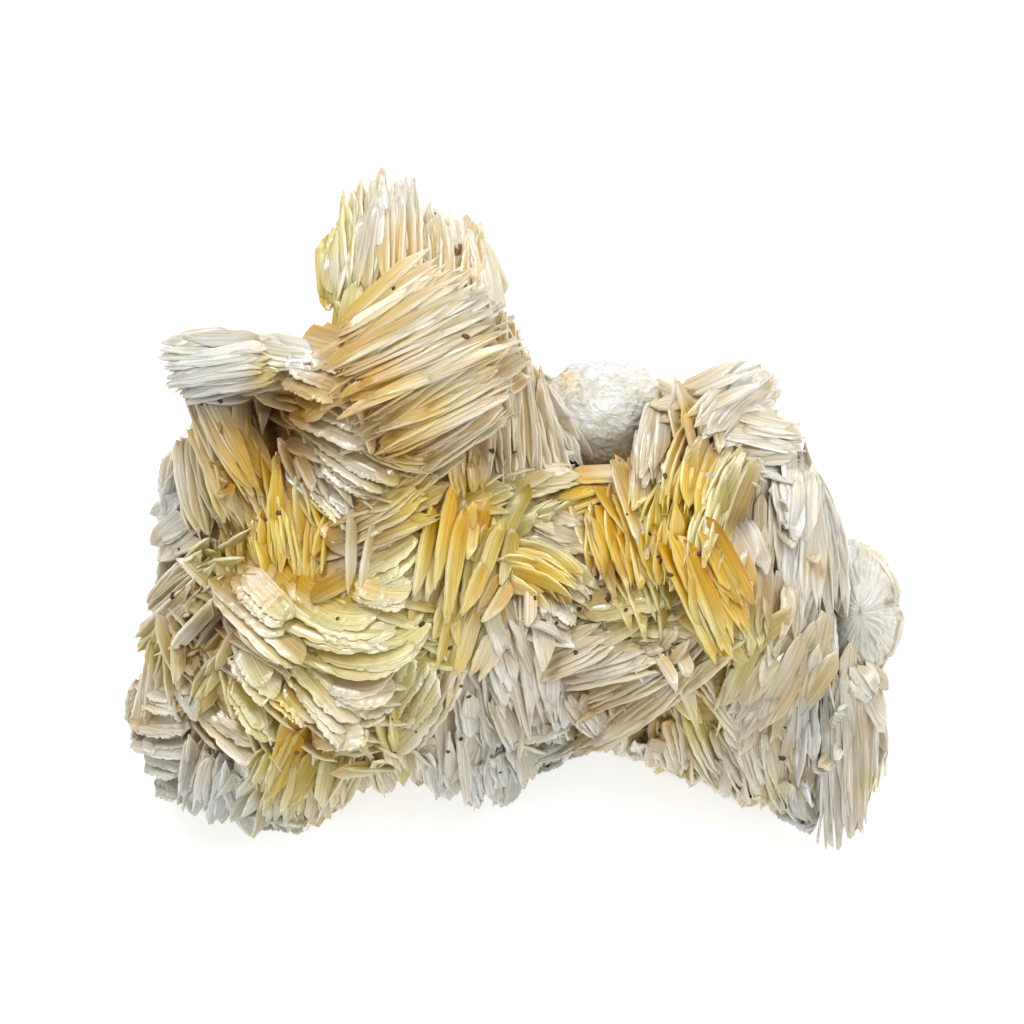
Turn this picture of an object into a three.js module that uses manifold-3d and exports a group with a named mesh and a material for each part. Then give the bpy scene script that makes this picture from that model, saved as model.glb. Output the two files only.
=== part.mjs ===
// A cluster of bladed ("crested") barite: books of thin blades that grew from one massive root.
// The cluster rests on its flat, cut base. Millimetres, +Z up, origin under the middle of the base.
import * as THREE from "three";
import { ConvexGeometry } from "three/addons/geometries/ConvexGeometry.js";
import { mergeVertices } from "three/addons/utils/BufferGeometryUtils.js";
import Module from "manifold-3d";

const wasm = await Module();
wasm.setup();

// Driving dimensions
const WIDTH = 100;
const BREADTH = 86;
const HEIGHT = 45;
const BLADE_FILL = 0.8; // how much of a book's width its blades take up; the rest is gaps
const LEAST_BLADE = 1.3; // thinnest blade
const RIB_COUNT = 22; // short blades around the flanks
const RIB_THICKNESS = 3;
const RIB_DEPTH = 6;
const ROOT_CENTRE = [-2, -6];

// The root's outline seen from above, clockwise from the left end of the top edge.
const ROOT_OUTLINE = [
  [-44, 18.6], [-33, 20.6], [-23.4, 21.4], [-22, 33], [-17, 41], [-10.5, 40], [-5, 35.5],
  [-3, 27.5], [3, 18.6], [10, 18.6], [20, 16.2], [27.5, 18.4], [32.5, 17.6], [37, 8.5],
  [41, -2], [48.4, -9], [48.6, -18], [47.6, -30], [44.5, -39], [38, -41], [30, -37],
  [20, -33.4], [10.5, -30], [2.5, -33.6], [-4.5, -37], [-12, -34.2], [-19, -35], [-28, -40.6],
  [-37, -39.6], [-45, -36], [-49, -26], [-47.2, -14], [-44.4, -3], [-44, 8],
];
// Height of each level of the root, its size there as a share of the outline, and how far
// from the centre it goes at most.
const ROOT_LEVELS = [
  [0, 0.82, 60],
  [5, 0.9, 60],
  [11, 0.88, 54],
  [17, 0.83, 44],
  [22, 0.72, 34],
  [27, 0.54, 24],
];
const ROOT_TOP = 30;

// Rounded swellings of massive barite: centre, radius along x, y and z, then how finely they
// are rounded. The coarse ones are mostly hidden under blades.
const SWELLINGS = [
  [11, 12.2, 18, 8.8, 7.2, 11.5, 1],
  [43.6, -12.6, 11, 6.2, 10, 11.5, 1],
  [44, -29, 8, 5, 10, 10, 0],
  [-11, 15, 24, 13, 14, 16, 0],
  [30, 4, 18, 9, 11, 12, 0],
  [-12, 31, 16, 9, 11, 15, 0],
  [-25, 11, 19, 13, 13, 17, 0],
  [-31, -16, 13, 12, 11, 17, 0],
  [21, 2, 20, 9, 10, 15, 0],
  [-35.6, 13.2, 17, 9.6, 5.2, 20.6, 0],
];

// Books of blades. Each row is the middle blade's crest, from x, y, z to x, y, z, then the
// book's width, its number of blades, how far they lean to the crest's right in degrees,
// their depth, how far the outer blades fan in degrees, and how far the crest bows to the right.
const BOOKS = [
  // Tower at the back
  [-21.3, 24.8, 31, -21.2, 35.6, 24, 2.2, 2, 0, 12, 3, 0],
  [-18.9, 25.0, 34, -18.3, 41.0, 24, 3.6, 4, 0, 12, 4, 0],
  [-12.9, 26.0, 36, -13.3, 42.6, 24, 4.6, 4, 0, 12, 4, 0],
  [-8.8, 25.0, 36, -9.0, 38.0, 25, 3.6, 4, 0, 12, 3, 0],
  [-5.8, 25.0, 34, -5.4, 36.2, 23, 2.4, 3, -8, 12, 2, 0],
  // Highest bundle
  [-19.6, 18.5, 42, -6.0, 27.0, 40, 5.4, 7, 0, 9, 6, 0],
  [-20.6, 14.2, 43, -1.8, 22.8, 44, 7.2, 10, 0, 9, 5, 0],
  [-17.0, 8.4, 41, -1.2, 16.6, 43, 6.8, 10, 4, 9, 4, 0],
  [-11.8, 5.8, 38, -1.4, 12.0, 40, 4.0, 6, 8, 7, 4, 0],
  // Curtain falling forward from the highest bundle
  [-1.6, 25.2, 40, -0.6, 2.8, 31, 3.2, 4, -10, 9, 6, 0],
  [0.2, 23.6, 38, 3.2, 2.4, 29, 3.2, 4, -16, 9, 6, 0],
  [2.4, 19.8, 35, 6.6, 3.4, 28, 3.0, 4, -22, 9, 6, 0.4],
  [4.4, 16.0, 31, 9.4, 6.8, 27, 2.4, 3, -30, 7, 4, 0.3],
  [-7.5, 7.2, 35, -6.8, 1.6, 34, 1.9, 2, 0, 6, 0, 0],
  [-4.5, 10.0, 32, -4.2, 3.4, 30, 3.4, 4, 0, 6, 4, 0],
  // Shelf of level blades
  [-7.0, 0.4, 32, 0.2, 2.1, 32, 2.4, 3, 20, 6, 3, 0],
  [0.0, 3.1, 31, 8.5, 3.5, 29, 2.0, 2, 20, 6, 0, 0],
  [-2.0, -3.4, 31, 5.6, 0.6, 31, 3.4, 3, -30, 6, 4, 0],
  [1.4, -2.2, 32, 8.0, -4.9, 31, 2.6, 3, 25, 6, 0, 0],
  // Yellow fan
  [-2.3, -4.4, 34, 8.6, -8.6, 33, 3.2, 5, -20, 7, 6, -1.2],
  [1.5, -3.7, 32, 11.0, -10.4, 31, 2.6, 4, -20, 7, 6, -0.8],
  // Plates left of the middle
  [-20.8, -9.2, 33, -11.2, -5.4, 34, 3.0, 3, 38, 7, 3, 0.9],
  [-20.4, -4.4, 33, -10.0, 0.4, 35, 4.6, 6, 15, 7, 6, 0],
  [-18.0, -0.5, 34, -9.6, 5.0, 35, 3.6, 5, 10, 7, 6, 0],
  [-14.6, 2.0, 34, -9.0, 7.0, 35, 2.4, 3, 8, 6, 0, 0],
  // Gold curtain and the hollow behind it
  [-41.0, 13.5, 30, -34.0, -1.6, 26, 2.4, 3, 12, 9, 4, 0],
  [-38.4, 14.0, 31, -31.0, 1.0, 27, 3.0, 4, 8, 9, 4, 0.4],
  [-31.0, 13.4, 23, -29.4, 6.0, 23, 4.6, 4, 0, 6, 4, 0],
  [-30.2, 7.0, 28, -29.0, -8.0, 27, 2.4, 3, 0, 8, 4, 0],
  [-28.2, 1.0, 29, -26.5, -10.0, 28, 2.0, 2, 0, 7, 0, 0],
  [-32.2, -1.0, 27, -31.0, -9.0, 25, 2.4, 3, 6, 7, 3, 0],
  [-25.4, -1.0, 30, -25.2, -12.4, 28, 1.9, 2, 0, 7, 0, 0],
  [-35.4, -2.0, 25, -33.8, -9.4, 23, 2.8, 3, 10, 7, 4, 0],
  // Ledge over the hollow
  [-42.8, 13.8, 34, -29.4, 16.2, 38, 3.2, 4, 56, 6, 3, -0.4],
  [-43.2, 17, 30, -31, 18.4, 34, 2.4, 3, 8, 14, 2, 0],
  [-35, 18.8, 34, -24.4, 16.4, 36, 1.8, 2, 30, 7, 0, 0],
  [-30.0, 17.4, 24, -23.0, 19.6, 24, 2.4, 3, 0, 14, 2, 0],
  // Diagonal shells under the highest bundle
  [-28.4, 16.2, 36, -21.8, 13.0, 38, 3.0, 3, 48, 7, 3, 0],
  [-27.2, 11.8, 34, -18.6, 7.2, 37, 3.4, 4, 44, 7, 4, 0],
  [-25.0, 7.6, 34, -15.5, 2.0, 36, 2.6, 3, 44, 7, 4, 0],
  // Far left
  [-43.4, 8.8, 22, -42.6, -3.6, 18, 3.0, 3, 34, 8, 4, 0.8],
  [-40.6, 10.4, 27, -38.4, -3.0, 24, 3.4, 4, 14, 8, 4, 0.6],
  [-44.2, -6.0, 18, -38.6, -2.4, 23, 3.4, 3, 30, 7, 4, 0],
  [-46.4, -12.2, 15, -39.5, -5.8, 24, 3.0, 3, -12, 8, 4, 0],
  [-47.6, -16.8, 14, -39.6, -9.8, 24, 3.4, 3, -8, 8, 4, 0],
  [-45.0, -16.0, 19, -47.3, -26.2, 13, 2.8, 3, 14, 8, 4, 0],
  [-47.6, -19.4, 14, -48.9, -28.4, 9, 2.0, 2, 34, 6, 0, 0],
  [-45.6, -9.6, 15, -43.9, -1.6, 17, 2.0, 2, -38, 6, 0, 0],
  [-40.8, -13.0, 22, -37.6, -18.6, 22, 2.8, 3, 0, 6, 0, 0],
  // Glossy diagonal plates
  [-35.5, -8.2, 29, -29.0, -14.5, 31, 2.0, 2, 48, 6, 0, 0],
  [-38.0, -10.0, 28, -28.0, -18.7, 32, 2.6, 2, 48, 7, 0, 0.4],
  [-35.3, -17.5, 28, -31.0, -24.0, 28, 2.2, 2, 46, 6, 0, 0],
  [-30.4, -22.0, 29, -24.8, -27.0, 28, 2.0, 2, 44, 6, 0, 0],
  [-36.5, -21.0, 26, -31.0, -29.0, 25, 2.2, 2, 46, 6, 0, 0],
  [-42.8, -21.8, 20, -33.0, -30.0, 22, 2.6, 3, 46, 7, 3, 0.6],
  [-29.5, -18.5, 31, -20.5, -28.0, 28, 2.8, 3, 38, 7, 3, 0],
  // Scallop of shells
  [-20.5, -9.8, 34, -13.0, -12.0, 34, 2.0, 2, 48, 6, 0, 0.5],
  [-30.0, -11.5, 30, -14.8, -15.8, 33, 3.0, 3, 52, 7, 4, 2.2],
  [-24.8, -17.8, 31, -10.0, -16.9, 33, 3.0, 3, 52, 7, 4, 2.6],
  [-25.3, -21.4, 29, -14.4, -22.4, 30, 2.6, 3, 52, 7, 4, 1.8],
  [-24.0, -24.6, 27, -15.6, -26.0, 27, 2.0, 2, 52, 6, 0, 0.8],
  // Front left foot
  [-47.4, -23.4, 15, -40.2, -24.8, 19, 2.4, 2, 52, 6, 0, 0.4],
  [-49.0, -26.2, 11, -40.4, -27.4, 18, 2.4, 2, 52, 6, 0, 0.4],
  [-48.6, -29.2, 10, -41.2, -30.2, 16, 2.4, 2, 52, 6, 0, 0.4],
  [-47.4, -32.0, 8, -42.0, -33.2, 13, 2.6, 2, 54, 6, 0, 0],
  [-46.0, -35.0, 7, -42.4, -36.2, 9, 2.0, 2, 54, 5, 0, 0],
  [-41.2, -33.0, 14, -41.6, -38.0, 8, 2.0, 2, 0, 6, 0, 0],
  [-40.2, -28.2, 19, -42.3, -36.0, 11, 2.0, 2, 0, 8, 0, 0],
  [-38.4, -30.0, 20, -40.2, -37.0, 12, 1.9, 2, 0, 8, 0, 0],
  [-37.0, -31.0, 20, -38.6, -39.2, 9, 2.0, 2, 0, 8, 0, 0],
  [-36.0, -34.0, 17, -33.9, -41.0, 8, 2.8, 2, 0, 7, 0, 0],
  // Blades running down the front
  [-27.2, -25.8, 28, -32.5, -36.5, 17, 2.0, 2, 0, 8, 0, 0],
  [-24.4, -29.5, 25, -25.2, -37.2, 15, 2.0, 2, 0, 7, 0, 0],
  [-20.0, -29.8, 24, -24.5, -37.5, 14, 2.6, 2, -26, 7, 0, 0],
  [-18.8, -32.0, 21, -21.7, -38.0, 11, 2.0, 2, -26, 6, 0, 0],
  [-29.0, -31.0, 23, -30.4, -38.2, 14, 2.8, 3, 0, 7, 3, 0],
  [-26.8, -33.0, 19, -27.6, -39.8, 10, 2.0, 2, 0, 7, 0, 0],
  [-35.0, -37.0, 12, -26.0, -38.8, 12, 2.4, 2, 44, 6, 0, 0],
  [-33.0, -39.8, 7, -25.6, -40.2, 8, 2.0, 2, 50, 5, 0, 0],
  [-16.4, -24.0, 29, -14.0, -33.6, 18, 2.8, 2, 0, 8, 0, 0],
  [-18.0, -30.0, 22, -16.3, -36.6, 11, 2.0, 2, 0, 7, 0, 0],
  [-12.2, -28.4, 23, -12.4, -34.0, 14, 2.2, 2, 0, 6, 0, 0],
  // Broad pale plates
  [-13.8, -30.3, 22, -5.4, -17.4, 32, 2.8, 3, 40, 7, 4, 1.6],
  [-14.2, -28.4, 23, -8.4, -20.4, 31, 2.8, 3, 38, 7, 3, 0.4],
  [-15.0, -25.6, 26, -10.4, -19.4, 31, 2.4, 2, 36, 6, 0, 0],
  // White pleats
  [-5.0, -9.0, 34, -0.8, -19.0, 30, 2.6, 2, 0, 8, 3, 0],
  [-3.0, -17.0, 31, -1.3, -23.4, 28, 2.0, 2, 0, 7, 0, 0],
  [-4.6, -20.5, 29, -2.3, -30.0, 20, 2.4, 2, 0, 8, 0, 0],
  [-2.8, -23.0, 28, 0.0, -30.0, 20, 2.0, 2, 0, 7, 0, 0],
  [-7.3, -21.5, 29, -6.3, -28.8, 22, 1.9, 2, 0, 7, 0, 0],
  [-5.2, -30.0, 20, -4.8, -38.0, 9, 2.3, 2, 0, 7, 0, 0],
  [-10.9, -30.0, 21, -9.3, -36.3, 11, 2.0, 2, 0, 7, 0, 0],
  [-2.5, -29.6, 21, -1.5, -35.6, 12, 2.0, 2, 0, 7, 0, 0],
  [-0.4, -31.0, 18, -2.2, -37.4, 9, 2.0, 2, 0, 6, 0, 0],
  [-1.0, -13.5, 32, 2.3, -26.8, 25, 3.0, 3, 0, 8, 4, 0],
  [3.0, -17.2, 30, 3.6, -24.2, 26, 2.0, 2, 0, 7, 0, 0],
  [0.2, -28.6, 22, 7.6, -26.2, 23, 2.2, 2, 46, 6, 0, 0],
  [-1.4, -32.0, 15, 8.0, -29.0, 17, 2.2, 2, 48, 6, 0, 0],
  [0.4, -33.6, 9, 8.6, -30.2, 11, 2.0, 2, 48, 6, 0, 0],
  // Middle right
  [8.0, -13.0, 32, 20.5, -11.0, 32, 2.6, 3, 44, 7, 3, 0],
  [12.0, -15.2, 31, 22.0, -14.8, 31, 2.0, 2, 44, 6, 0, 0],
  [2.9, -20.8, 29, 12.4, -16.2, 32, 1.9, 2, 20, 7, 0, 0],
  [7.0, -21.2, 29, 17.0, -18.4, 32, 3.6, 5, 18, 7, 5, 0],
  [9.0, -25.2, 25, 19.0, -20.6, 31, 2.4, 3, 18, 7, 4, 0],
  [7.7, -30.3, 20, 25.0, -17.6, 33, 3.6, 5, 12, 9, 4, 0.6],
  [7.0, -22.6, 27, 11.0, -28.0, 22, 2.6, 3, 10, 7, 0, 0],
  // Gold blades and the trunk
  [9.3, 1.0, 31, 13.0, -10.3, 33, 2.1, 2, 0, 7, 0, 0],
  [12.5, 7.0, 31, 17.0, -6.0, 34, 2.6, 3, 6, 8, 4, 0],
  [13.5, -1.0, 33, 15.4, -9.6, 33, 2.4, 3, 0, 7, 4, 0],
  [16.0, -2.0, 35, 18.4, -9.6, 34, 2.4, 3, 0, 7, 0, 0],
  [31.4, 17.6, 28, 22.5, 10.2, 35, 4.0, 5, 0, 9, 6, 0.6],
  [22.7, 10.8, 35, 19.0, 0.0, 37, 4.0, 5, 0, 9, 5, 0.6],
  [19.4, 1.0, 37, 18.2, -9.0, 35, 3.0, 4, 0, 9, 4, 0],
  [27.5, 8.0, 34, 21.8, -6.0, 37, 3.2, 4, 0, 9, 5, 0.6],
  [18.9, -3.4, 38, 25.2, -18.3, 34, 3.0, 3, 0, 9, 4, 0],
  [22.5, -2.5, 37, 27.5, -11.5, 34, 2.4, 3, 0, 8, 3, 0],
  [23.4, 0.2, 36, 28.5, -9.8, 33, 2.0, 2, 0, 8, 0, 0],
  [22.5, 13.6, 31, 31.4, 19.0, 24, 3.6, 4, -26, 9, 3, 0],
  [25.4, 11.8, 32, 33.0, 16.0, 26, 2.8, 3, -10, 9, 3, 0],
  // Fan on the right
  [28.0, -8.8, 32, 27.4, -17.0, 30, 3.0, 3, 0, 7, 4, 0],
  [31.2, -8.6, 31, 30.6, -15.4, 30, 2.2, 2, 0, 7, 0, 0],
  [30.5, -14.0, 31, 25.0, -23.6, 26, 2.4, 2, 0, 8, 0, 0],
  [31.9, -17.0, 29, 26.5, -25.2, 24, 2.0, 2, 0, 8, 0, 0],
  [33.5, -14.6, 30, 28.0, -27.2, 22, 2.4, 3, 0, 8, 4, 0],
  [34.1, -15.0, 29, 32.0, -25.6, 22, 2.0, 2, 0, 8, 0, 0],
  [35.6, -16.8, 27, 33.2, -24.4, 22, 1.9, 2, 0, 8, 0, 0],
  [20.5, -23.8, 27, 25.5, -34.4, 14, 2.4, 2, 0, 8, 0, 0],
  [23.5, -22.0, 28, 28.5, -28.4, 21, 2.0, 2, 0, 7, 0, 0],
  [25.0, -27.0, 23, 29.3, -35.4, 12, 2.4, 2, 0, 8, 0, 0],
  [28.4, -28.2, 21, 31.2, -36.6, 11, 2.2, 2, 0, 7, 0, 0],
  [17.0, -26.2, 25, 18.5, -31.2, 17, 2.0, 2, 0, 7, 0, 0],
  [19.0, -26.0, 25, 21.0, -33.0, 13, 2.0, 2, 0, 7, 0, 0],
  [13.8, -27.0, 23, 15.6, -31.0, 14, 2.4, 2, 0, 6, 0, 0],
  [10.2, -27.2, 21, 11.4, -30.0, 15, 2.2, 2, 0, 6, 0, 0],
  [18.0, -31.0, 13, 24.0, -34.2, 9, 2.0, 2, 46, 6, 0, 0],
  // Right side
  [35.0, 0.5, 29, 33.5, -13.5, 28, 2.2, 2, 0, 8, 0, 0],
  [37.2, 7.0, 25, 39.6, -11.6, 22, 4.0, 5, -26, 9, 5, -1.0],
  [39.8, 2.0, 19, 42.2, -5.4, 17, 2.4, 3, -40, 7, 3, 0],
  [27.0, 9.0, 33, 36.0, 8.2, 28, 2.0, 2, 20, 7, 0, 0],
  [27.5, 6.4, 32, 36.0, 6.6, 28, 2.0, 2, 20, 6, 0, 0],
  [31.4, 11.8, 29, 36.8, 9.0, 24, 2.0, 2, -34, 8, 0, 0],
  // Front right pillars
  [37.0, -18.0, 25, 37.0, -33.0, 15, 3.0, 2, -10, 9, 0, 0],
  [34.4, -25.0, 22, 35.2, -36.4, 11, 2.6, 2, 16, 8, 0, 0],
  [30.8, -27.0, 22, 34.4, -38.0, 9, 2.4, 2, 0, 8, 0, 0],
  [40.0, -21.0, 23, 40.4, -42.4, 8, 3.8, 4, 0, 9, 3, 0],
  [45.2, -23.0, 18, 44.8, -40.4, 7, 3.6, 4, -6, 8, 3, 0],
  [33.4, -37.8, 8, 37.6, -40.4, 7, 2.4, 2, 46, 5, 0, 0],
  // Rim of the fibrous swelling
  [46.0, -4.8, 17, 49.3, -11.6, 15, 2.4, 2, -30, 6, 0, -0.6],
  [49.2, -12.4, 14, 47.4, -20.6, 13, 2.2, 2, -30, 6, 0, 0],
];

// A seeded run of numbers from 0 to 1, so that every build gives the same cluster.
let seed = 4177;
function chance() {
  seed = (Math.imul(seed, 1664525) + 1013904223) >>> 0;
  return seed / 4294967296;
}

// A closed geometry as a solid that can be joined and cut.
function toSolid(geometry) {
  const bare = geometry.clone();
  bare.deleteAttribute("normal");
  bare.deleteAttribute("uv");
  const merged = mergeVertices(bare, 1e-4);
  return new wasm.Manifold(
    new wasm.Mesh({
      numProp: 3,
      vertProperties: new Float32Array(merged.attributes.position.array),
      triVerts: new Uint32Array(merged.index.array),
    }),
  );
}

// The blade's outline in its own plane: share of its length, share of its depth below the crest.
const BLADE_EDGE = [
  [-0.5, 0.14],
  [-0.28, 0],
  [0.28, 0],
  [0.5, 0.14],
  [0.2, 1],
  [-0.2, 1],
];
// Where its two faces reach full thickness.
const BLADE_FACE = [
  [-0.36, 0.3],
  [0.36, 0.3],
];

// A chisel-edged blade hanging from the crest that runs between two points.
function bladeGeometry(from, to, thickness, lean, depth, bow) {
  const length = from.distanceTo(to);
  const along = to.clone().sub(from).normalize();
  const right = new THREE.Vector3(along.y, -along.x, 0).normalize();
  const up = new THREE.Vector3().crossVectors(right, along);
  const angle = THREE.MathUtils.degToRad(lean);
  const growth = up.clone().multiplyScalar(Math.cos(angle)).addScaledVector(right, Math.sin(angle));
  const across = right.clone().multiplyScalar(Math.cos(angle)).addScaledVector(up, -Math.sin(angle));
  const middle = from.clone().lerp(to, 0.5);
  const place = ([share, drop], offset) =>
    middle
      .clone()
      .addScaledVector(along, share * length)
      .addScaledVector(growth, -drop * depth)
      .addScaledVector(across, offset + bow * (1 - 4 * share * share));
  const points = BLADE_EDGE.map((spot) => place(spot, 0));
  for (const spot of BLADE_FACE) {
    points.push(place(spot, thickness / 2), place(spot, -thickness / 2));
  }
  return new ConvexGeometry(points);
}

// Every blade of a book, side by side across the book's width. Leaning books step down
// towards the side they lean to.
function bookSolids([x1, y1, z1, x2, y2, z2, width, count, lean, depth, fan, bow]) {
  const from = new THREE.Vector3(x1, y1, z1);
  const to = new THREE.Vector3(x2, y2, z2);
  const middle = from.clone().lerp(to, 0.5);
  const right = new THREE.Vector3(y2 - y1, x1 - x2, 0).normalize();
  const blades = Math.max(1, Math.round(count / 4));
  const pitch = width / blades;
  const thickness = Math.max(LEAST_BLADE, pitch * BLADE_FILL);
  const step = -0.35 * Math.sin(THREE.MathUtils.degToRad(lean));
  const solids = [];
  for (let i = 0; i < blades; i += 1) {
    const shift = (i + 0.5 - blades / 2) * pitch;
    const turn = THREE.MathUtils.degToRad((-fan * shift) / width);
    const ends = [from, to].map((end) =>
      end
        .clone()
        .sub(middle)
        .applyAxisAngle(new THREE.Vector3(0, 0, 1), turn)
        .add(middle)
        .addScaledVector(right, shift)
        .add(new THREE.Vector3(0, 0, shift * step)),
    );
    solids.push(toSolid(bladeGeometry(ends[0], ends[1], thickness, lean, depth, bow)));
  }
  return solids;
}

// The massive root: rings of the outline, one for each level, closed by a cap above and below.
function rootSolid() {
  const points = [];
  const faces = [];
  const sides = ROOT_OUTLINE.length;
  for (const [height, share, farthest] of ROOT_LEVELS) {
    for (const [x, y] of ROOT_OUTLINE) {
      const dx = x - ROOT_CENTRE[0];
      const dy = y - ROOT_CENTRE[1];
      const size = Math.min(share, farthest / Math.hypot(dx, dy));
      points.push(ROOT_CENTRE[0] + dx * size, ROOT_CENTRE[1] + dy * size, height);
    }
  }
  const bottom = points.length / 3;
  points.push(ROOT_CENTRE[0], ROOT_CENTRE[1], 0, ROOT_CENTRE[0], ROOT_CENTRE[1], ROOT_TOP);
  const top = bottom + 1;
  const lastRing = (ROOT_LEVELS.length - 1) * sides;
  for (let i = 0; i < sides; i += 1) {
    const next = (i + 1) % sides;
    faces.push(bottom, i, next, top, lastRing + next, lastRing + i);
    for (let ring = 0; ring < lastRing; ring += sides) {
      faces.push(ring + i, ring + sides + i, ring + sides + next);
      faces.push(ring + i, ring + sides + next, ring + next);
    }
  }
  const geometry = new THREE.BufferGeometry();
  geometry.setAttribute("position", new THREE.Float32BufferAttribute(points, 3));
  geometry.setIndex(faces);
  return toSolid(geometry);
}

function swellingSolid([x, y, z, radiusX, radiusY, radiusZ, detail]) {
  const geometry = new THREE.IcosahedronGeometry(1, detail);
  geometry.scale(radiusX, radiusY, radiusZ);
  geometry.translate(x, y, z);
  return toSolid(geometry);
}

// Distance from the root's centre to its outline in one direction.
function reach(angle) {
  const dx = Math.cos(angle);
  const dy = Math.sin(angle);
  let found = 0;
  ROOT_OUTLINE.forEach(([x, y], i) => {
    const [nextX, nextY] = ROOT_OUTLINE[(i + 1) % ROOT_OUTLINE.length];
    const ax = x - ROOT_CENTRE[0];
    const ay = y - ROOT_CENTRE[1];
    const ex = nextX - x;
    const ey = nextY - y;
    const cross = dx * ey - dy * ex;
    const distance = (ax * ey - ay * ex) / cross;
    const share = (ax * dy - ay * dx) / cross;
    if (distance > 0 && share >= 0 && share <= 1) {
      found = Math.max(found, distance);
    }
  });
  return found;
}

// Short blades standing out around the flanks.
function ribSolids() {
  const solids = [];
  for (let i = 0; i < RIB_COUNT; i += 1) {
    const angle = (2 * Math.PI * (i + 0.6 * chance())) / RIB_COUNT;
    const twist = angle + 0.09 * (chance() - 0.5);
    const lower = 1.5 + 3.5 * chance();
    const upper = 13 + 6 * chance();
    const lowReach = reach(angle) * 0.96;
    const highReach = reach(twist) * 0.85;
    const from = new THREE.Vector3(
      ROOT_CENTRE[0] + highReach * Math.cos(twist),
      ROOT_CENTRE[1] + highReach * Math.sin(twist),
      upper,
    );
    const to = new THREE.Vector3(
      ROOT_CENTRE[0] + lowReach * Math.cos(angle),
      ROOT_CENTRE[1] + lowReach * Math.sin(angle),
      lower,
    );
    solids.push(toSolid(bladeGeometry(from, to, RIB_THICKNESS, 0, RIB_DEPTH, 0)));
  }
  return solids;
}

const pieces = [rootSolid()];
for (const swelling of SWELLINGS) {
  pieces.push(swellingSolid(swelling));
}
for (const book of BOOKS) {
  pieces.push(...bookSolids(book));
}
pieces.push(...ribSolids());

let cluster = pieces[0];
for (const piece of pieces.slice(1)) {
  cluster = cluster.add(piece);
}

// Everything below the base is cut away flat.
const below = new THREE.BoxGeometry(2 * WIDTH, 2 * BREADTH, HEIGHT);
below.translate(0, 0, -HEIGHT / 2);
cluster = cluster.subtract(toSolid(below));

// Pockets sealed between blades are filled: only the outermost skin is kept.
const skins = cluster.decompose();
const outer = skins.reduce((best, skin) => (skin.volume() > best.volume() ? skin : best));
const mesh = outer.getMesh();

const geometry = new THREE.BufferGeometry();
geometry.setAttribute("position", new THREE.BufferAttribute(new Float32Array(mesh.vertProperties), 3));
geometry.setIndex(new THREE.BufferAttribute(new Uint32Array(mesh.triVerts), 1));

// Bring the cluster to its stated size, standing on the origin.
geometry.computeBoundingBox();
const box = geometry.boundingBox;
const size = box.getSize(new THREE.Vector3());
const centre = box.getCenter(new THREE.Vector3());
geometry.translate(-centre.x, -centre.y, -box.min.z);
geometry.scale(WIDTH / size.x, BREADTH / size.y, HEIGHT / size.z);
geometry.computeVertexNormals();

const barite = new THREE.Mesh(
  geometry,
  new THREE.MeshStandardMaterial({ color: 0xe6d9b0, roughness: 0.45, metalness: 0 }),
);
barite.name = "bladed_barite";

const group = new THREE.Group();
group.add(barite);

export default group;
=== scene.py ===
import math

import bmesh
import bpy
import numpy as np
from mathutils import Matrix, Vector, noise
from mathutils.bvhtree import BVHTree


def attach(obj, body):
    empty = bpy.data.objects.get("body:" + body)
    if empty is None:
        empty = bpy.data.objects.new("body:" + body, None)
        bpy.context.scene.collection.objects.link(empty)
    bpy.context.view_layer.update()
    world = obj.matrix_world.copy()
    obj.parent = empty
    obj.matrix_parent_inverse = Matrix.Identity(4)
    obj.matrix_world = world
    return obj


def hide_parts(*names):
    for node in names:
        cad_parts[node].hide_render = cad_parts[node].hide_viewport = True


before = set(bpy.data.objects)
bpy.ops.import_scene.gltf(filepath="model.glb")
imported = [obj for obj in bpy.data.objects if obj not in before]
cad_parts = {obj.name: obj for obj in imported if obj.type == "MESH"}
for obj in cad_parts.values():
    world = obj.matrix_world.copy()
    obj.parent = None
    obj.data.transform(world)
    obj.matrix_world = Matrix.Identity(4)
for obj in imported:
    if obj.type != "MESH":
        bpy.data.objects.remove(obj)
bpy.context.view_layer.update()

MM = 0.001

# Sizes below are in millimetres. x is to the right, y is up in the picture, z is up off the table.
SEED, NOISE_SEED = 4177, 19
FIT_MOVE, FIT_STRETCH = (-0.593, 0.03, 0), (1.0161, 1.0325, 1.0279)
ROOT_CENTRE = (-2.0, -6.0)
ROOT_OUTLINE = [
    (-44, 18.6), (-33, 20.6), (-23.4, 21.4), (-22, 33), (-17, 41), (-10.5, 40), (-5, 35.5),
    (-3, 27.5), (3, 18.6), (10, 18.6), (20, 16.2), (27.5, 18.4), (32.5, 17.6), (37, 8.5),
    (41, -2), (48.4, -9), (48.6, -18), (47.6, -30), (44.5, -39), (38, -41), (30, -37),
    (20, -33.4), (10.5, -30), (2.5, -33.6), (-4.5, -37), (-12, -34.2), (-19, -35), (-28, -40.6),
    (-37, -39.6), (-45, -36), (-49, -26), (-47.2, -14), (-44.4, -3), (-44, 8),
]

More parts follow.
